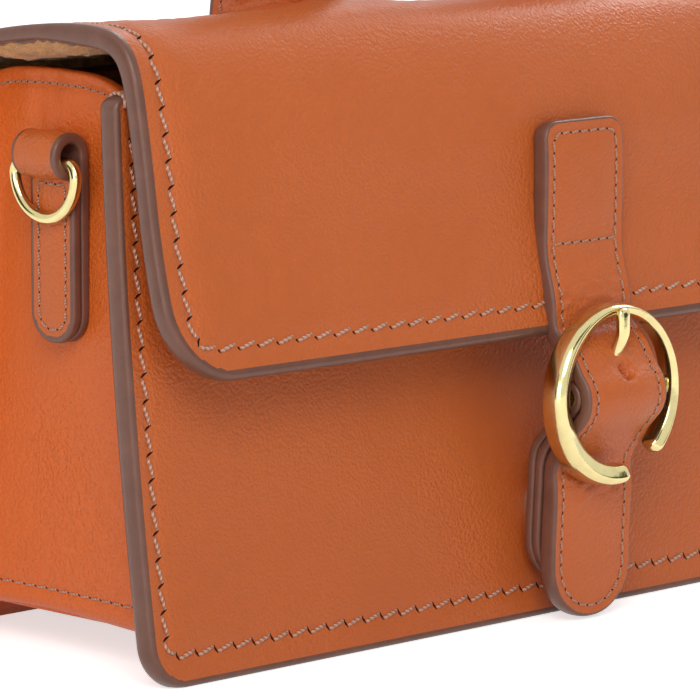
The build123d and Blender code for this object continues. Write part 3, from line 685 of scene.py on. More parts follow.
def tubes(centres, side, up, section, sizes):
    """Closed tubes: each carries one section along its line and ends in a point.

    Ring k of a tube is its centre + size * (x * side + y * up), for each (x, y) of the section.
    centres, side and up are (tubes, rings, 3); sizes is (tubes, rings).
    """
    many, rings = centres.shape[:2]
    count = len(section)
    x, y = np.asarray(section, float).T
    scale = np.broadcast_to(sizes, (many, rings))[..., None, None]
    body = centres[:, :, None] + scale * (x[:, None] * side[:, :, None] + y[:, None] * up[:, :, None])
    poles = np.stack([centres[:, 0], centres[:, -1]], axis=1)
    points = np.concatenate([body.reshape(many, -1, 3), poles], axis=1)
    index = np.arange(rings * count).reshape(rings, count)
    nxt = np.roll(index, -1, axis=1)
    quads = np.stack([index[:-1], nxt[:-1], nxt[1:], index[1:]], -1).reshape(-1, 4)
    first, last = rings * count, rings * count + 1
    heads = np.stack([np.full(count, first), nxt[0], index[0]], -1)
    tails = np.stack([np.full(count, last), index[-1], nxt[-1]], -1)
    step = (np.arange(many) * points.shape[1])[:, None, None]
    tris = np.concatenate([heads, tails])
    return points.reshape(-1, 3), (quads + step).reshape(-1, 4), (tris + step).reshape(-1, 3)


def brass_tube(name, centres, side, up, section, body, replaces=(), sizes=1.0):
    """One closed tube of brass that rides on a body."""
    points, quads, tris = tubes(centres[None], side[None], up[None], section, sizes)
    new_piece(name, points, quads, body, ["brass"], None, replaces, tris)


def thread_map(stitches, rings, sides, ribs):
    """The map of a row of stitches: how many ribs of twist lie along each, and the way round it."""
    along = np.broadcast_to(np.linspace(0, ribs, rings)[:, None], (rings, sides))
    around = np.broadcast_to(np.linspace(0, 1, sides, endpoint=False)[None], (rings, sides))
    one = np.concatenate([np.stack([along, around], -1).reshape(-1, 2), [[0, 0], [ribs, 0]]])
    return np.tile(one, (stitches, 1))


def oval(width, depth, count, power=1.0):
    """Section of a tube: width/2 cos^p by depth/2 sin^p, signs kept."""
    angles = np.linspace(0, 2 * pi, count, endpoint=False)
    x, y = swollen(np.cos(angles), power), swollen(np.sin(angles), power)
    return np.stack([width / 2 * x, depth / 2 * y], axis=1)


def sew(name, sheet, line, body, pitch, width, slant=0.8, rise=0.36):
    """A line of slanting stitches, one mesh, with painted shade for the awl's slit between each two.

    A stitch is a tube that crosses its line from one side to the other as it goes, and its height over the
    leather is rise * sin^0.7, less the depth that its ends dive.
    """
    path = Path(np.asarray(line, float))
    number = max(1, int(round(path.length / pitch)))
    pitch = path.length / number
    t = np.linspace(0, 1, 8)[None]
    s = (np.arange(number)[:, None] + 0.06 + 0.88 * t) * pitch
    aside = (t - 0.5) * slant * width * 2 + 0 * s

    def at(s, aside, lift):
        u, v = path(s)
        u2, v2 = path(s + 0.05)
        way = unit(np.stack([u2 - u, v2 - v], -1))
        u, v = u - way[..., 1] * aside, v + way[..., 0] * aside
        normal = sheet.normal(u, v)
        return sheet.face(u, v) + normal * lift[..., None], normal

    def frames(centres, normal):
        way = unit(np.gradient(centres, axis=1))
        side = unit(np.cross(way, normal))
        return centres, side, np.cross(side, way)

    lift = (rise * np.sin(pi * t) ** 0.7 - 0.18) * width / 0.85 + 0 * s
    taper = width * np.array([0.5, 0.8, 0.95, 1, 1, 0.95, 0.8, 0.5])[None]
    points, quads, tris = tubes(*frames(*at(s, aside, lift)), oval(1.0, 0.72, 8), taper)
    uv = thread_map(number, 8, 8, 4.2)
    knots = np.arange(1, number)[:, None] * pitch
    t = np.linspace(0, 1, 5)[None]
    s = knots + (t - 0.5) * (0.45 + 0.08 * pitch)
    aside = (0.5 - t) * slant * width * 2.6 + 0 * s
    taper = width * np.array([0.3, 0.8, 1, 0.8, 0.3])[None]
    # near-black ovals of painted shade, 0.02 mm over the leather, where the slits would be
    painted_slit_shades = frames(*at(s, aside, 0.02 + 0 * s))
    more, more_quads, more_tris = tubes(*painted_slit_shades, oval(0.65, 0.18, 6), taper)
    count = len(points)
    slots = np.repeat([0, 1, 0, 1], [len(quads), len(more_quads), len(tris), len(more_tris)])
    return new_piece(
        name, np.concatenate([points, more]), np.concatenate([quads, more_quads + count]), body,
        ["waxed thread", "slit"], slots, (), np.concatenate([tris, more_tris + count]),
        np.concatenate([uv, np.zeros((len(more), 2))]))


def ripples(u, v, seed, size, stretch=1.0, waves=26):
    """Smooth uneven waves: the mean of cosines with random ways and phases, about size mm long."""
    random = np.random.RandomState(seed)
    total = 0 * u
    for _ in range(waves):
        angle, phase, scale = random.uniform(0, 2 * pi), random.uniform(0, 2 * pi), random.uniform(0.6, 1.7)
        total = total + np.cos((u * cos(angle) / stretch + v * sin(angle)) * 2 * pi / (size * scale) + phase)
    return total * (2 / waves) ** 0.5


def hump(x, middle, width):
    return np.exp(-(((x - middle) / width) ** 2))


def ease(x, low, high):
    """Smooth step from 0 at low to 1 at high."""
    t = np.clip((x - low) / (high - low), 0, 1)
    return t * t * (3 - 2 * t)


def seam_depth(u, v, at, radius, closer):
    """Depth inside a border whose seam runs closer to the sides than to the bottom.

    It is the lesser distance, but counted round the seam's corner of the given radius.
    """
    side = HALF - np.abs(u) + closer
    reach = at + radius
    cornered = reach - np.hypot(reach - side, reach - v)
    lower = np.where(v < BOTTOM_SEAM_REACH, v, side)
    return np.where((side < reach) & (v < reach), cornered, np.minimum(side, lower))


def seam_relief(depth, at, deep=0.28, plump=0.3):
    """Leather pulled down along a seam and plump inside it."""
    return plump * ease(depth, at, at + 5) - deep * hump(depth, at, 0.9)


def bent_along(path, way=1):
    """Places of a sheet that follows a line in side view and is straight across."""
    def place(u, v):
        y, z = path(v)
        return way * u, y + 0 * u, z + 0 * u

    return place


# ------------------------------------------------------------------ front and back panels
class Wall:
    """A leaning wall in side view: an arc from foot to top, bowed into the bag."""

    def __init__(self, foot, top, inward):
        run = top - foot
        chord = np.hypot(run, PANEL_TOP)
        reach = (chord**2 / (8 * PANEL_BOW) - PANEL_BOW / 2) / chord
        self.inward = inward
        self.radius = chord**2 / (8 * PANEL_BOW) + PANEL_BOW / 2
        self.centre_y = (foot + top) / 2 - inward * PANEL_TOP * reach
        self.centre_z = PANEL_TOP / 2 + inward * run * reach

    def y(self, z, depth=0.0):
        radius = self.radius + depth
        return self.centre_y + self.inward * np.sqrt(radius**2 - (z - self.centre_z) ** 2)


FRONT = Wall(FRONT_FOOT, FRONT_FOOT + FRONT_LEAN, 1)
BACK = Wall(BACK_FOOT, BACK_FOOT - BACK_LEAN, -1)


def panel_sheet(wall, seed):
    outline = Outline(-HALF, HALF, 0, PANEL_TOP, CORNER_R, TOP_CORNER_R)
    margin = bpy.context.scene.sling_bag_sizes.seam_margin / MM
    sign = wall.inward

    def place(u, v):
        return sign * u, wall.y(v), v + 0 * u

    def thick(u, v):
        rim = np.minimum(HALF - np.abs(u), v)
        return PANEL_T + (FLANGE_T - 0.05) * (1 - ease(rim, 7.2, 8.2))

    def relief(u, v):
        depth = seam_depth(u, v, margin, CORNER_R - margin, PANEL_SEAM_SHIFT)
        calm = ease(depth, 0, 12)
        return seam_relief(depth, margin, 0.3, 0.12) + calm * 0.12 * ripples(u, v, seed, 42)

    return Sheet(outline, place, thick, relief)


def bar_tack(name, side):
    """Four turns of thread over the front panel's top corner, where its seam ends.

    Each turn is an arch: it climbs the panel's face, crosses its thickness and goes down behind.
    """
    margin = bpy.context.scene.sling_bag_sizes.seam_margin / MM
    turns, steps, spacing = 4, 16, 0.72
    start, stand_off = PANEL_TOP - 1.9, 0.35
    t = np.linspace(0, 1, steps)[None]
    lean = (t - 0.5) * 1.1
    x = side * (HALF - margin + PANEL_SEAM_SHIFT) + (np.arange(turns)[:, None] - 1.5) * spacing + lean
    thick = PANEL_T + FLANGE_T
    depth = thick / 2 - (thick / 2 + stand_off) * np.cos(pi * t) + 0 * x
    z = start + (2.3 * np.sin(pi * t) ** 0.55 + 0 * x)
    y = FRONT.y(z, 0) + depth
    centres = np.stack([x, y, z], -1)
    way = unit(np.gradient(centres, axis=1))
    across = np.broadcast_to([1.0, 0, 0], centres.shape)
    side_way = unit(np.cross(way, np.cross(across, way)))
    points, quads, tris = tubes(centres, side_way, np.cross(side_way, way), oval(0.75, 0.75, 8), 1.0)
    new_piece(name, points, quads, "bag", ["waxed thread"], None, (), tris,
              thread_map(turns, steps, 8, 6))


class BAG_OT_panels(bpy.types.Operator):
    """Front and back panels with their seams"""
    bl_idname = "sling_bag.panels"
    bl_label = "Front and back panels"

    def execute(self, context):
        sizes = context.scene.sling_bag_sizes
        margin = sizes.seam_margin / MM
        for name, wall, seed in (("front_panel", FRONT, 3), ("back_panel", BACK, 4)):
            sheet = panel_sheet(wall, seed)
            sheet_piece(f"{name}_leather", sheet, "bag", "panel_leather", (name,), back="calf leather")
            side = margin - PANEL_SEAM_SHIFT
            line = sheet.outline.seam(side, margin, PANEL_TOP - 2.5, PANEL_TOP - 2.5, CORNER_R - margin)
            sew(f"{name}_seam", sheet, line, "bag", sizes.stitch_pitch / MM, sizes.thread_width / MM)
        bar_tack("bar_tack_left", -1)
        bar_tack("bar_tack_right", 1)
        return {"FINISHED"}


# ------------------------------------------------------------------ gussets and base
def left_gusset():
    """A channel in plan: flange, wall and flange with round turns between, from back to front.

    Each place across it has its own x, its share of the way from the back panel to the front one, and a
    fixed distance from the panel it belongs to.
    """
    turn = GUSSET_TURN_R
    wall_x = -HALF + INSET
    depth = PANEL_T + FLANGE_T
    angles = np.linspace(0, pi / 2, 9)
    flange = np.linspace(-HALF + 0.9, wall_x - turn, 8)
    back_x = np.concatenate([flange[:-1], wall_x - turn + turn * np.sin(angles)])
    back_off = np.concatenate([0 * flange[:-1], -turn * (1 - np.cos(angles))])
    shares = np.linspace(0, 1, 46)[1:-1]
    x = np.concatenate([back_x, 0 * shares + wall_x, back_x[::-1]])
    off = np.concatenate([back_off, -turn + 2 * turn * shares, -back_off[::-1]])
    share = np.concatenate([0 * back_x, shares, 0 * back_x + 1])
    steps = np.hypot(np.diff(x), np.diff(off + share * -50))
    at = np.concatenate([[0], np.cumsum(steps)])
    length = at[-1]
    heel = BASE_Z + FOOT_TURN
    outline = Outline(0, length, heel - FOOT_TURN * 1.5, PANEL_TOP)

    def across(u, values):
        return np.interp(u, at, values)

    def place(u, v):
        w = across(u, share)
        top = PANEL_TOP - CROWN_DROP + CROWN_RISE * (1 - w**7) - 1.3 * (1 - w) ** 10
        under = np.maximum(heel - v, 0) / FOOT_TURN
        z = heel + np.maximum(v - heel, 0) * (top - heel) / (PANEL_TOP - heel) - FOOT_TURN * np.sin(under)
        y = BACK.y(z, depth) * (1 - w) + FRONT.y(z, depth) * w + across(u, off)
        turned = FOOT_TURN * (1 - np.cos(under)) * (w > 0) * (w < 1)
        return across(u, x) + turned, y, z

    return outline, place, across, share, length


class BAG_OT_gussets(bpy.types.Operator):
    """Gussets with their hems, and the base"""
    bl_idname = "sling_bag.gussets"
    bl_label = "Gussets and base"

    def execute(self, context):
        fine = context.scene.sling_bag_sizes.fine_pitch / MM
        self.gusset("left", -1, fine)
        self.gusset("right", 1, fine)
        self.base()
        return {"FINISHED"}

    def gusset(self, name, side, fine):
        """The right gusset is the left one mirrored, read from its other end."""
        outline, place_left, across, share, length = left_gusset()

        def matching(u):
            return u if side < 0 else length - u

        def place(u, v):
            x, y, z = place_left(matching(u), v)
            return -side * x, y, z

        def relief(u, v):
            w = across(matching(u), share)
            wall = ease(w, 0.02, 0.12) * (1 - ease(w, 0.88, 0.98))
            hem = -0.4 * hump(v, HEM_SEAM_Z, 0.8) + 0.2 * ease(v, HEM_SEAM_Z, PANEL_TOP - 1.2)
            low = -0.3 * hump(v, FOOT_SEAM_Z, 0.8)
            pleats = 0.38 * ripples(u, v * 0.3, 11, 8) * hump(w, 0.42, 0.16) * ease(v, 50, 92)
            pull = 0.14 * ripples(u * 0.5, v * 0.5, 12, 11) * hump(v, 88, 18)
            slack = 0.6 * ripples(u, v, 13, 60)
            return wall * (hem + low + pleats + pull + slack)

        sheet = Sheet(outline, place, FLANGE_T, relief)
        sheet_piece(f"gusset_{name}_leather", sheet, "bag", "gusset_leather", (f"gusset_{name}",),
                    "gusset leather", edge="gusset leather", step=1.0, bulge=0.5, rim=7)
        across_wall = np.linspace(WALL_AT, length - WALL_AT, 60)
        for edge, v in (("hem", HEM_SEAM_Z), ("foot", FOOT_SEAM_Z)):
            line = np.stack([across_wall, np.full(60, v)], 1)
            sew(f"gusset_{name}_{edge}_seam", sheet, line, "bag", fine, FINE_THREAD, 0.25)

    def base(self):
        """A channel: down behind the front panel's foot, across under the bag and down at the back."""
        depth = PANEL_T + FLANGE_T
        line = [(FRONT.y(1, depth), 1), (FRONT.y(BASE_Z, depth), BASE_Z), (BACK.y(BASE_Z, depth), BASE_Z),
                (BACK.y(1, depth), 1)]
        path = Path(bent_line(line, [2, 2]))
        outline = Outline(-BASE_HALF, BASE_HALF, 0, path.length)
        base = Sheet(outline, bent_along(path, -1), FLANGE_T)
        sheet_piece("base_leather", base, "bag", "gusset_leather", ("base_panel",), "gusset leather",
                    edge="gusset leather", step=1.6, bulge=0.4)


def dress(node, name):
    """Gives a CAD node a material."""
    target = frame["nodes"][node]
    target.data.materials.clear()
    target.data.materials.append(material(name))


# ------------------------------------------------------------------ flap
FLAP_PATH = Path(soft_line([(HINGE_Y + y, HINGE_Z + z) for y, z in FLAP_LINE]))
BROW_AT = FLAP_PATH.where(1, HINGE_Z + 9.2)
HINGE_AT = FLAP_PATH.length - BAND_LENGTH
HANDLE_MID_Y = (HANDLE_LOW[1] + HANDLE_HIGH[1]) / 2
FOOT_X = HANDLE_HIGH[0] - HANDLE_T / 2


def flap_sheet():
    sizes = bpy.context.scene.sling_bag_sizes
    margin, draw_in = sizes.seam_margin / MM, sizes.draw_in / MM
    outline = Outline(-HALF, HALF, 0, FLAP_PATH.length, FLAP_CORNER_R, 4.0)

    def place(u, v):
        y, z = FLAP_PATH(v)
        drop = 1 - ease(v, 0, BROW_AT)
        held = CORNER_HOLD * (np.abs(u) / HALF) ** 2.2 * (1 - ease(v, BROW_AT - 2, BROW_AT + 12))
        y = y + draw_in * drop + held
        inside = HALF - np.abs(u)
        front = 1 - ease(v, BROW_AT - 6, BROW_AT + 10)
        y = y - 3.0 * (1 - (u / HALF) ** 2) * hump(z, HINGE_Z - 10, 16) * front
        over = 0.75 * ease(v, BROW_AT - 14, BROW_AT + 1) + 0.25 * ease(v, BROW_AT + 2, BROW_AT + 14)
        over = over * (1 - ease(v, HINGE_AT - 18, HINGE_AT - 3))
        return u, y, z - over * (1.9 * ease(inside, 0, 26) + 1.6 * ease(inside, 62, 80))

    def thick(u, v):
        lined = (FLAP_T - BAND_T) * (1 - ease(v, HINGE_AT - 9, HINGE_AT - 4))
        return BAND_T + lined * (1 - 0.7 * ease(v, BROW_AT - 10, BROW_AT + 8)) + 0 * u

    def relief(u, v):
        depth = seam_depth(u, v, margin, FLAP_SEAM_R, FLAP_SEAM_SHIFT)
        free = 1 - ease(v, HINGE_AT - 14, HINGE_AT - 6)
        y, _ = FLAP_PATH(v)
        foot = np.hypot(np.maximum(np.abs(np.abs(u) - FOOT_X) - 3.5, 0),
                        np.maximum(np.abs(y - HANDLE_MID_Y) - 13.5, 0))
        swell = 1.3 * np.exp(-(foot / 6.5) ** 2) * (v > BROW_AT * 0.5)
        bend = hump(v, BROW_AT - 4, 16)
        fine = 0.05 * ripples(u, v, 22, 3.4) * bend * ease(depth, 3, 8)
        slow = 0.25 * ripples(u, v, 21, 70) * ease(depth, 2, 25)
        plump = 0.45 - 0.3 * ease(v, BROW_AT - 10, BROW_AT)
        return free * (seam_relief(depth, margin, 0.32, plump) + swell + fine + slow)

    return Sheet(outline, place, thick, relief)


class BAG_OT_flap(bpy.types.Operator):
    """Flap leather with its seam and its suede"""
    bl_idname = "sling_bag.flap"
    bl_label = "Flap"

    def execute(self, context):
        sizes = context.scene.sling_bag_sizes
        margin = sizes.seam_margin / MM
        sheet = flap_sheet()
        points, quads, slots = sheet.solid(bulge=0.85, rim_paint=0.7)
        leather = new_piece(
            "flap_leather_bent", points, quads, None, ["calf leather", "suede", "edge paint"], slots,
            ("flap_leather", "flap_anchor_band"))
        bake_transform(leather)
        thread = sizes.stitch_pitch / MM, sizes.thread_width / MM
        line = sheet.outline.seam(margin - FLAP_SEAM_SHIFT, margin, HINGE_AT - 8, HINGE_AT - 8, FLAP_SEAM_R)
        sew("flap_seam", sheet, line, "flap", *thread)
        side, top, foot = HALF - margin + FLAP_SEAM_SHIFT, HINGE_AT + 3, FLAP_PATH.length - 4
        band = bent_line([(-side, top), (-side, foot), (side, foot), (side, top)], [2, 2])
        sew("flap_band_seam", sheet, band, "bag", *thread)
        self.suede(sheet)
        return {"FINISHED"}

    def suede(self, sheet):
        """The suede lies behind the leather and sags a little from it."""
        edge = SUEDE_EDGE
        inner = Outline(-HALF + edge, HALF - edge, edge, HINGE_AT - 5, FLAP_CORNER_R - edge, 0)

        def inside(u, v):
            depth = np.maximum(sheet.thick(-u, v), BAND_T) + 0.22
            face = sheet.bare(-u, v) - sheet.normal(-u, v) * depth[..., None]
            return face[..., 0], face[..., 1], face[..., 2]

        def slack(u, v):
            side = HALF - edge - np.abs(u)
            hang = 3.4 * (1 - np.exp(-np.maximum(side, 0) / 3)) * np.exp(-np.maximum(side, 0) / 30)
            top = ease(v, BROW_AT - 10, BROW_AT + 4) * (1 - ease(v, HINGE_AT - 20, HINGE_AT - 8))
            return hang * top + 0.16 * ripples(u, v, 31, 2.4) + 0.2 * ripples(u, v, 32, 16)

        nap = Sheet(inner, inside, 0.5, slack)
        sheet_piece("flap_suede", nap, "flap", "suede", ("flap_lining",), "suede", "suede", bulge=0.3,
                    rim_paint=0)


# ------------------------------------------------------------------ closure strap and buckle tab
STRAP_BACK = -33.624
STRAP_RUN = [
    (STRAP_BACK + 0.8, STRAP_TIP), (STRAP_BACK + 1.0, 13.0), (STRAP_BACK, RING_Z - 10.9),
    (BAR_Y - 5.13, RING_Z), (STRAP_BACK, RING_Z + 10.9), (STRAP_BACK + 0.39, RING_Z + 13.38),
    (STRAP_BACK + 3.05, RING_Z + 30.38), (STRAP_BACK + 6.53, STRAP_TOP),
]
STRAP_RADII = [60.0, 7.5, 3.8, 4.0, 12.0, 41.0]


def strap_sheet():
    points, radii = offset_run(STRAP_RUN, STRAP_RADII, STRAP_T)
    path = Path(bent_line(points, np.maximum(radii, 0.5)))
    length = path.length + STRAP_END
    outline = Outline(-STRAP_HALF, STRAP_HALF, 0, length, STRAP_TIP_R, STRAP_TOP_R)
    low_arc = path.where(1, RING_Z - RING_OUTER_R + 2)
    high_arc = path.where(1, RING_Z + RING_OUTER_R - 2)
    hole = path.where(1, RING_Z + 7.5)

    def place(u, v):
        y, z = path(v)
        y = y - 3.0 * ease(z, STRAP_TOP - 20, STRAP_TOP + 2) + 0.9 * hump(z, RING_Z + 25.2, 6)
        return u, y + 0 * u, z + 0 * u

    def relief(u, v):
        depth = outline.depth(u, v)
        bends = hump(v, low_arc - 3, 3.2) + hump(v, high_arc + 3, 4.0) + 0.6 * hump(v, hole + 3, 4)
        creases = 0.18 * ripples(u * 0.35, v, 41, 1.5) * bends
        pressed = -0.5 * (hump(v, low_arc, 2.6) + hump(v, high_arc, 2.6))
        pit = -3.2 * np.exp(-(np.hypot((u - RING_X) / 1.4, (v - hole) / 1.6)) ** 4)
        crown = 0.5 * (1 - (u / STRAP_HALF) ** 2) - 1.1
        dome = crown * ease(v, low_arc, low_arc + 8) * (1 - ease(v, hole, hole + 6))
        seam = seam_relief(depth, STRAP_SEAM, 0.16, 0.15)
        return seam + creases * ease(depth, 0.5, 3) + pressed + pit + dome

    return Sheet(outline, place, STRAP_T, relief), length


class BAG_OT_strap(bpy.types.Operator):
    """Closure strap with its seams, and the folded tab that holds the buckle"""
    bl_idname = "sling_bag.strap"
    bl_label = "Closure strap and buckle tab"

    def execute(self, context):
        fine = context.scene.sling_bag_sizes.fine_pitch / MM
        sheet, length = strap_sheet()
        sheet_piece("closure_strap_leather", sheet, "flap", "strap_leather",
                    ("closure_strap", "closure_strap_backing"),
                    step=0.7, rim_step=0.35, rim=6, bulge=0.6, rim_paint=0.1)
        left, right = -STRAP_HALF + STRAP_SEAM, STRAP_HALF - STRAP_SEAM
        top = length - STRAP_SEAM - 0.3
        foot = top - STRAP_BOX
        box = bent_line([(left, foot), (left, top), (right, top), (right, foot)], [STRAP_BOX_R] * 2)
        bar = [(left, foot), (right, foot)]
        edge = bent_line([(left, foot), (left, STRAP_SEAM), (right, STRAP_SEAM), (right, foot)],
                         [STRAP_TIP_R - STRAP_SEAM] * 2)
        for name, line in (("box", box), ("bar", bar), ("edge", edge)):
            sew(f"strap_{name}_seam", sheet, line, "flap", fine, FINE_THREAD, 0.3)
        self.tab()
        return {"FINISHED"}

    def tab(self):
        """The tab goes up in front, round the bar, and down behind."""
        front, front_r = offset_run(STRAP_RUN[:4], STRAP_RADII[:2], -0.5)
        behind, _ = offset_run(STRAP_RUN[:4], STRAP_RADII[:2], -0.5 - 2 * TAB_T)
        up = unit(front[3] - front[2])
        over = np.array([-up[0], up[1]])
        crest = front[3]
        turns = [crest, crest + over * 6.4, crest + over * 6.4 - up * 6.6, crest + over * 3.4 - up * 6.6]
        front[0] += (0, TAB_BOTTOM - STRAP_TIP)
        behind[0] += (0, TAB_BOTTOM - STRAP_TIP)
        points = [*front[:3], *turns, behind[2], behind[1], behind[0]]
        path = Path(bent_line(points, [*front_r, 3.2, 3.2, 3.2, 0.8, 7.5, 60.0]))
        outline = Outline(-STRAP_HALF + 0.1, STRAP_HALF - 0.1, 0, path.length, 9.6, 9.6)

        def relief(u, v):
            return seam_relief(outline.depth(u, v), 2.6, 0.12, 0.05)

        tab = Sheet(outline, bent_along(path), TAB_T - 0.03, relief)
        sheet_piece("buckle_tab_leather", tab, "flap", "strap_leather", ("buckle_tab",), bulge=0.7, step=1.0)


# ------------------------------------------------------------------ buckle
class BAG_OT_buckle(bpy.types.Operator):
    """Open round buckle frame, its bar and its prong"""
    bl_idname = "sling_bag.buckle"
    bl_label = "Buckle"

    def execute(self, context):
        start, stop = radians(RING_GAP[1]), radians(360 + RING_GAP[0])
        angles = np.linspace(start, stop, 160)
        radial = np.stack([np.cos(angles), 0 * angles, np.sin(angles)], -1)
        thick = RING_THICK - RING_SHIFT[0] * np.cos(angles) - RING_SHIFT[1] * np.sin(angles)
        deep = 2.9 + 0.45 * thick
        middle_r = RING_OUTER_R - thick / 2
        away = np.minimum(angles - start, stop - angles) * middle_r
        end = round_end(away / 1.7, 0.0004)
        centres = np.array([RING_X, RING_Y + RING_BACK, RING_Z]) + radial * middle_r[:, None]
        centres[:, 1] -= deep / 2
        front = np.array([[0.0, -1.0, 0.0]])
        brass_tube("buckle_ring_frame", centres, radial * thick[:, None], front * deep[:, None],
                   self.ring_section(), "buckle_frame", ("buckle_ring",), end)
        reach = np.linspace(-RING_OUTER_R + 1.3, RING_OUTER_R - 1.3, 12)
        line = np.stack([RING_X + reach, 0 * reach + BAR_Y, 0 * reach + RING_Z], -1)
        side, up = np.broadcast_to([0, 1.0, 0], line.shape), np.broadcast_to([0, 0, 1.0], line.shape)
        brass_tube("buckle_bar", line, side, up, oval(BAR_WIRE, BAR_WIRE, 20), "buckle_frame")
        self.prong()
        return {"FINISHED"}

    def ring_section(self):
        """Half round outside, with a ridge in front and a flat bevel from it down to the inside.

        Given in shares of the width and the depth, and evened out by a closed B-spline.
        """
        corners = np.array([
            (0.50, -0.42), (0.50, 0.05), (0.40, 0.38), (0.14, 0.54), (0.02, 0.50), (-0.38, 0.36),
            (-0.50, 0.22), (-0.50, -0.40), (-0.42, -0.50), (0.44, -0.50)])
        line = spline([np.roll(corners, 1 - i, axis=0) for i in range(4)], 4)
        low, high = line.min(axis=0), line.max(axis=0)
        return (line - low) / (high - low) - 0.5

    def prong(self):
        """A flat tongue cast with a flattened shank, from the bar over the frame's top."""
        rest = RING_Y + RING_BACK - 3.5 - 0.3 - 0.75
        run = [(BAR_Y - 1.2, RING_Z + 2.7), (BAR_Y - 1.9, RING_Z + 7.2), (rest, RING_Z + 11.2),
               (rest, RING_Z + RING_OUTER_R - 1.8), (rest + 0.6, RING_Z + RING_OUTER_R - 0.7)]
        line = Path(bent_line(run, [3.0, 3.0, 1.0]))
        s = np.linspace(0, line.length, 30)
        y, z = line(s)
        centres = np.stack([0 * s + RING_X, y, z], -1)
        way = unit(np.gradient(centres, axis=0))
        side = np.broadcast_to([1.0, 0, 0], centres.shape)
        end = round_end(line.length - s, 0.01)
        brass_tube("buckle_prong_tongue", centres, side, np.cross(side, way), oval(2.7, 1.7, 20, 0.7),
                   "prong", ("buckle_prong",), end)


# ------------------------------------------------------------------ D-rings
class BAG_OT_d_rings(bpy.types.Operator):
    """D-ring tabs folded round the rings, and the rings' finish"""
    bl_idname = "sling_bag.d_rings"
    bl_label = "D-rings and tabs"

    def execute(self, context):
        fine = context.scene.sling_bag_sizes.fine_pitch / MM
        for name, side in (("left", -1), ("right", 1)):
            self.tab(name, side, fine)
            self.ring(name)
        return {"FINISHED"}

    def ring(self, name):
        """A wire bent to a D with round shoulders; its ends meet inside the tab's roll."""
        low, high = box_mm(f"d_ring_{name}")
        x, middle, top = (low[0] + high[0]) / 2, (low[1] + high[1]) / 2, high[2] - D_WIRE / 2
        half, drop = (high[1] - low[1] - D_WIRE) / 2, high[2] - low[2] - D_WIRE
        corners = [(0, 0), (half, 0), (half, -drop), (-half, -drop), (-half, 0), (0, 0)]
        path = Path(bent_line(corners, [D_SHOULDER, half - 0.05, half - 0.05, D_SHOULDER]))
        path = Path(soft_line(np.stack(path(np.linspace(0, path.length, 50)), -1)))
        y, z = path(np.linspace(0, path.length, 120))
        centres = np.stack([0 * y + x, middle + y, top + z], -1)
        up = np.broadcast_to([1.0, 0, 0], centres.shape)
        side = unit(np.cross(up, np.gradient(centres, axis=0)))
        brass_tube(f"d_ring_{name}_wire", centres, side, up, oval(D_WIRE, D_WIRE, 20), f"ring_{name}",
                   (f"d_ring_{name}",))

    def tab(self, name, side, fine):
        """A strap that goes up outside, rolls round the wire and comes down against the gusset."""
        wall, bottom, top = D_TAB_HIGH[0], D_TAB_LOW[2], D_TAB_HIGH[2]
        out, face, roll = D_TAB_LOW[0], wall - 4.0, 4.18
        shelf = top - 2 * roll
        line = [(face, bottom), (face, shelf), (out, shelf), (out, top), (wall, top), (wall, bottom)]
        path = Path(bent_line(line, [0.2, roll, roll, roll]))
        half = (D_TAB_HIGH[1] - D_TAB_LOW[1]) / 2
        middle = (D_TAB_HIGH[1] + D_TAB_LOW[1]) / 2
        outline = Outline(-half, half, 0, path.length, half - 0.3, half - 0.3)

        def place(u, v):
            x, z = path(v)
            return -side * x, middle + side * u, z + 0 * u

        def relief(u, v):
            return seam_relief(outline.depth(u, v), D_TAB_SEAM, 0.14, 0.15)

        sheet = Sheet(outline, place, 1.96, relief)
        sheet_piece(f"d_ring_tab_{name}_leather", sheet, "bag", "strap_leather", (f"d_ring_tab_{name}",),
                    step=0.6, rim_step=0.35, rim=4, bulge=0.7, back="edge paint")
        stop, low = shelf - bottom - 0.9, 2.4
        left, right = -half + D_TAB_SEAM, half - D_TAB_SEAM
        loop = bent_line([(left, stop), (left, low), (right, low), (right, stop)], [3.0, 3.0])
        across = [(left, stop), (right, stop)]
        for seam, run in (("seam", loop), ("bar_seam", across)):
            sew(f"d_ring_tab_{name}_{seam}", sheet, run, "bag", fine, FINE_THREAD, 0.25)


# ------------------------------------------------------------------ handle
class BAG_OT_handle(bpy.types.Operator):
    """Top handle, three layers painted as one edge"""
    bl_idname = "sling_bag.handle"
    bl_label = "Handle"

    def execute(self, context):
        fine = context.scene.sling_bag_sizes.fine_pitch / MM
        x, top = HANDLE_HIGH[0], HANDLE_HIGH[2]
        foot = HANDLE_LOW[2] - 2.0
        path = Path(bent_line([(-x, foot), (-x, top), (x, top), (x, foot)], [HANDLE_BEND_R] * 2))
        half = (HANDLE_HIGH[1] - HANDLE_LOW[1]) / 2
        outline = Outline(-half, half, 0, path.length)

        def place(u, v):
            px, pz = path(v)
            near = np.minimum(v, path.length - v)
            flare = 2.4 * (1 - ease(near, 0, 16))
            return px + 0 * u, HANDLE_MID_Y - u * (1 + flare / half), pz + 0 * u

        def relief(u, v):
            rim = half - np.abs(u)
            creases = 0.1 * ripples(u * 0.25, v, 51, 3.0) + 0.06 * ripples(u * 0.4, v, 52, 1.6)
            return seam_relief(rim, HANDLE_SEAM, 0.22, 0.25) + creases * ease(rim, 1.5, 5)

        sheet = Sheet(outline, place, HANDLE_T, relief)
        layers = ("handle_cover_outer", "handle_core", "handle_cover_inner")
        sheet_piece("handle_arch", sheet, "flap", "handle_leather", layers, "creased calf leather",
                    "calf leather", step=0.8, rim_step=0.4, rim=5, bulge=1.3, rim_paint=0.4, rings=13)
        for name, u in (("front", half - HANDLE_SEAM), ("back", -half + HANDLE_SEAM)):
            ends = [(u, 2.0), (u, path.length - 2.0)]
            sew(f"handle_{name}_seam", sheet, ends, "flap", fine, FINE_THREAD, 0.25)
        return {"FINISHED"}


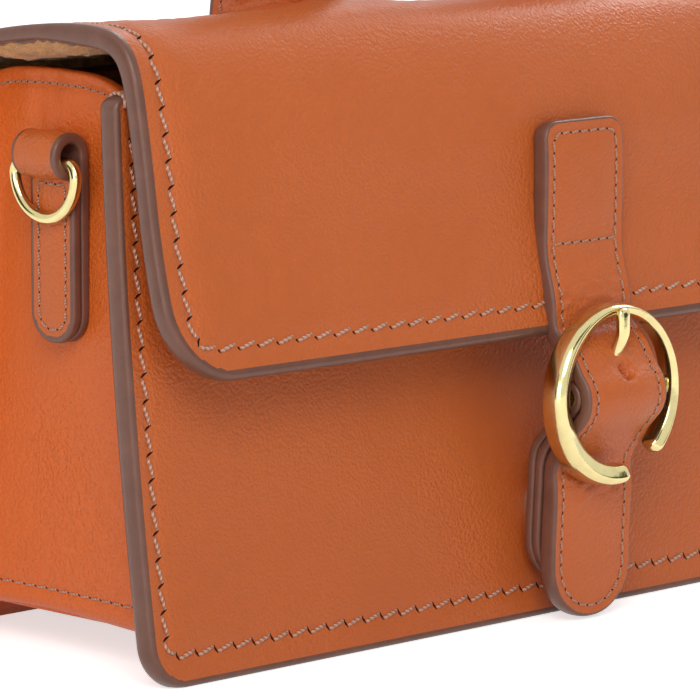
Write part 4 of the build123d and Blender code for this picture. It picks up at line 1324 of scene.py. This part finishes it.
# ------------------------------------------------------------------ the rest of the CAD nodes
class BAG_OT_inside(bpy.types.Operator):
    """Linings, base board and snap"""
    bl_idname = "sling_bag.inside"
    bl_label = "Inside and snap"

    def execute(self, context):
        for node in ("front_lining", "back_lining", "gusset_lining_left", "gusset_lining_right",
                     "base_lining", "inner_pocket"):
            dress(node, "microfibre")
        dress("base_board", "grey board")
        for node in ("snap_socket", "snap_stud", "snap_washer", "handle_anchor_left", "handle_anchor_right"):
            dress(node, "nickel plate")
        return {"FINISHED"}


# ------------------------------------------------------------------ stage
CAMERA_AZIMUTH = -44.635
CAMERA_HEIGHT = 8.468
CAMERA_DISTANCE = 0.87593
CAMERA_LENS = 258.2
CAMERA_AIM = (-0.0538, -0.0279, 0.0543)


def area_light(name, place, size, power, aim=(0, 0, 0.06)):
    data = bpy.data.lights.new(name, "AREA")
    data.shape = "RECTANGLE"
    data.size, data.size_y = size
    data.energy = power
    lamp = bpy.data.objects.new(name, data)
    lamp.location = place
    lamp.rotation_euler = (Vector(aim) - Vector(place)).to_track_quat("-Z", "Y").to_euler()
    bpy.context.scene.collection.objects.link(lamp)


def square(name, width, height):
    """A flat card, middle at the origin."""
    w, h = width / 2, height / 2
    mesh = bpy.data.meshes.new(name)
    mesh.from_pydata([(-w, -h, 0), (w, -h, 0), (w, h, 0), (-w, h, 0)], [], [(0, 1, 2, 3)])
    card = bpy.data.objects.new(name, mesh)
    bpy.context.scene.collection.objects.link(card)
    return card


def flag(name, place, size, aim=(0, -0.04, 0.04)):
    """A black card that only mirrors see, so that the brass has something dark to show."""
    card = square(name, *size)
    card.location = place
    card.rotation_euler = (Vector(aim) - Vector(place)).to_track_quat("Z", "Y").to_euler()
    card.visible_camera = False
    card.visible_diffuse = False
    card.visible_shadow = False
    felt, _, shader = new_material(name + " felt")
    shader.inputs["Base Color"].default_value = (0.01, 0.01, 0.01, 1)
    card.data.materials.append(felt)


class BAG_OT_stage(bpy.types.Operator):
    """Floor, lamps, world and camera"""
    bl_idname = "sling_bag.stage"
    bl_label = "Stage"

    def execute(self, context):
        scene = context.scene
        scene.view_settings.view_transform = "Standard"
        self.floor()
        self.world(scene)
        area_light("key", (-1.1, -1.1, 1.1), (0.9, 0.9), 15)
        area_light("top", (1.1, 0.35, 1.0), (0.9, 0.45), 9)
        area_light("low fill", (-1.4, -0.5, 0.25), (0.8, 0.5), 3)
        flag("flag right", (0.75, -0.9, 0.1), (0.65, 0.8))
        flag("flag left", (-1.0, 0.35, 0.2), (0.7, 0.7), (-0.09, 0.0, 0.08))
        flag("flag low", (0.24, -0.32, 0.03), (0.16, 0.05))
        flag("flag above", (-0.1, -0.9, 0.95), (0.9, 0.32))
        azimuth, height = radians(CAMERA_AZIMUTH), radians(CAMERA_HEIGHT)
        back = Vector((sin(azimuth) * cos(height), -cos(azimuth) * cos(height), sin(height)))
        data = bpy.data.cameras.new("camera")
        data.lens = CAMERA_LENS
        data.clip_end = 20
        camera = bpy.data.objects.new("camera", data)
        camera.location = Vector(CAMERA_AIM) + back * CAMERA_DISTANCE
        camera.rotation_euler = (-back).to_track_quat("-Z", "Y").to_euler()
        scene.collection.objects.link(camera)
        scene.camera = camera
        return {"FINISHED"}

    def seen_share(self, tree):
        """1 for rays from the camera, mirrors and glass, 0 for the rest."""
        path = add(tree, "ShaderNodeLightPath")
        share = path.outputs["Is Camera Ray"]
        for kind in ("Glossy", "Transmission"):
            share = add(tree, "ShaderNodeMath", {0: share, 1: path.outputs[f"Is {kind} Ray"]},
                        operation="MAXIMUM").outputs[0]
        return share

    def floor(self):
        floor = square("floor", 8.0, 8.0)
        paper, tree, shader = new_material("white paper sweep")
        shader.inputs["Base Color"].default_value = rgba(srgb("#F2F1EF"))
        shader.inputs["Roughness"].default_value = 0.9
        shader.inputs["Specular IOR Level"].default_value = 0.1
        glow = add(tree, "ShaderNodeMath", {0: self.seen_share(tree), 1: 0.62}, operation="MULTIPLY")
        shader.inputs["Emission Color"].default_value = (1, 1, 1, 1)
        tree.links.new(glow.outputs[0], shader.inputs["Emission Strength"])
        floor.data.materials.append(paper)

    def world(self, scene):
        world = bpy.data.worlds.new("studio")
        scene.world = world
        world.use_nodes = True
        tree = world.node_tree
        tree.nodes.clear()
        seen = self.seen_share(tree)
        strength = add(tree, "ShaderNodeMapRange", {"Value": seen, "To Min": 0.42, "To Max": 1.0})
        glow = add(tree, "ShaderNodeBackground", {"Color": (1, 1, 1, 1), "Strength": strength.outputs[0]})
        add(tree, "ShaderNodeOutputWorld", {"Surface": glow.outputs[0]})


# ------------------------------------------------------------------ panel and registration
OPERATORS = [
    BAG_OT_panels, BAG_OT_gussets, BAG_OT_flap, BAG_OT_strap, BAG_OT_buckle, BAG_OT_d_rings, BAG_OT_handle,
    BAG_OT_inside, BAG_OT_stage,
]


class BAG_PT_pieces(bpy.types.Panel):
    """Lists the bag's sizes, colours and pieces"""
    bl_idname = "BAG_PT_pieces"
    bl_label = "Sling bag"
    bl_space_type = "VIEW_3D"
    bl_region_type = "UI"
    bl_category = "Sling bag"

    def draw(self, context):
        for group in (context.scene.sling_bag_sizes, context.scene.sling_bag_colours):
            for name in group.__annotations__:
                self.layout.prop(group, name)
        for operator in OPERATORS:
            self.layout.operator(operator.bl_idname)


CLASSES = [SlingBagSizes, SlingBagColours, *OPERATORS, BAG_PT_pieces]


def register():
    for item in CLASSES:
        bpy.utils.register_class(item)
    bpy.types.Scene.sling_bag_sizes = bpy.props.PointerProperty(type=SlingBagSizes)
    bpy.types.Scene.sling_bag_colours = bpy.props.PointerProperty(type=SlingBagColours)


def unregister():
    del bpy.types.Scene.sling_bag_colours
    del bpy.types.Scene.sling_bag_sizes
    for item in reversed(CLASSES):
        bpy.utils.unregister_class(item)


def main():
    register()
    for operator in OPERATORS:
        group, name = operator.bl_idname.split(".")
        getattr(getattr(bpy.ops, group), name)()


if __name__ == "__main__":
    main()
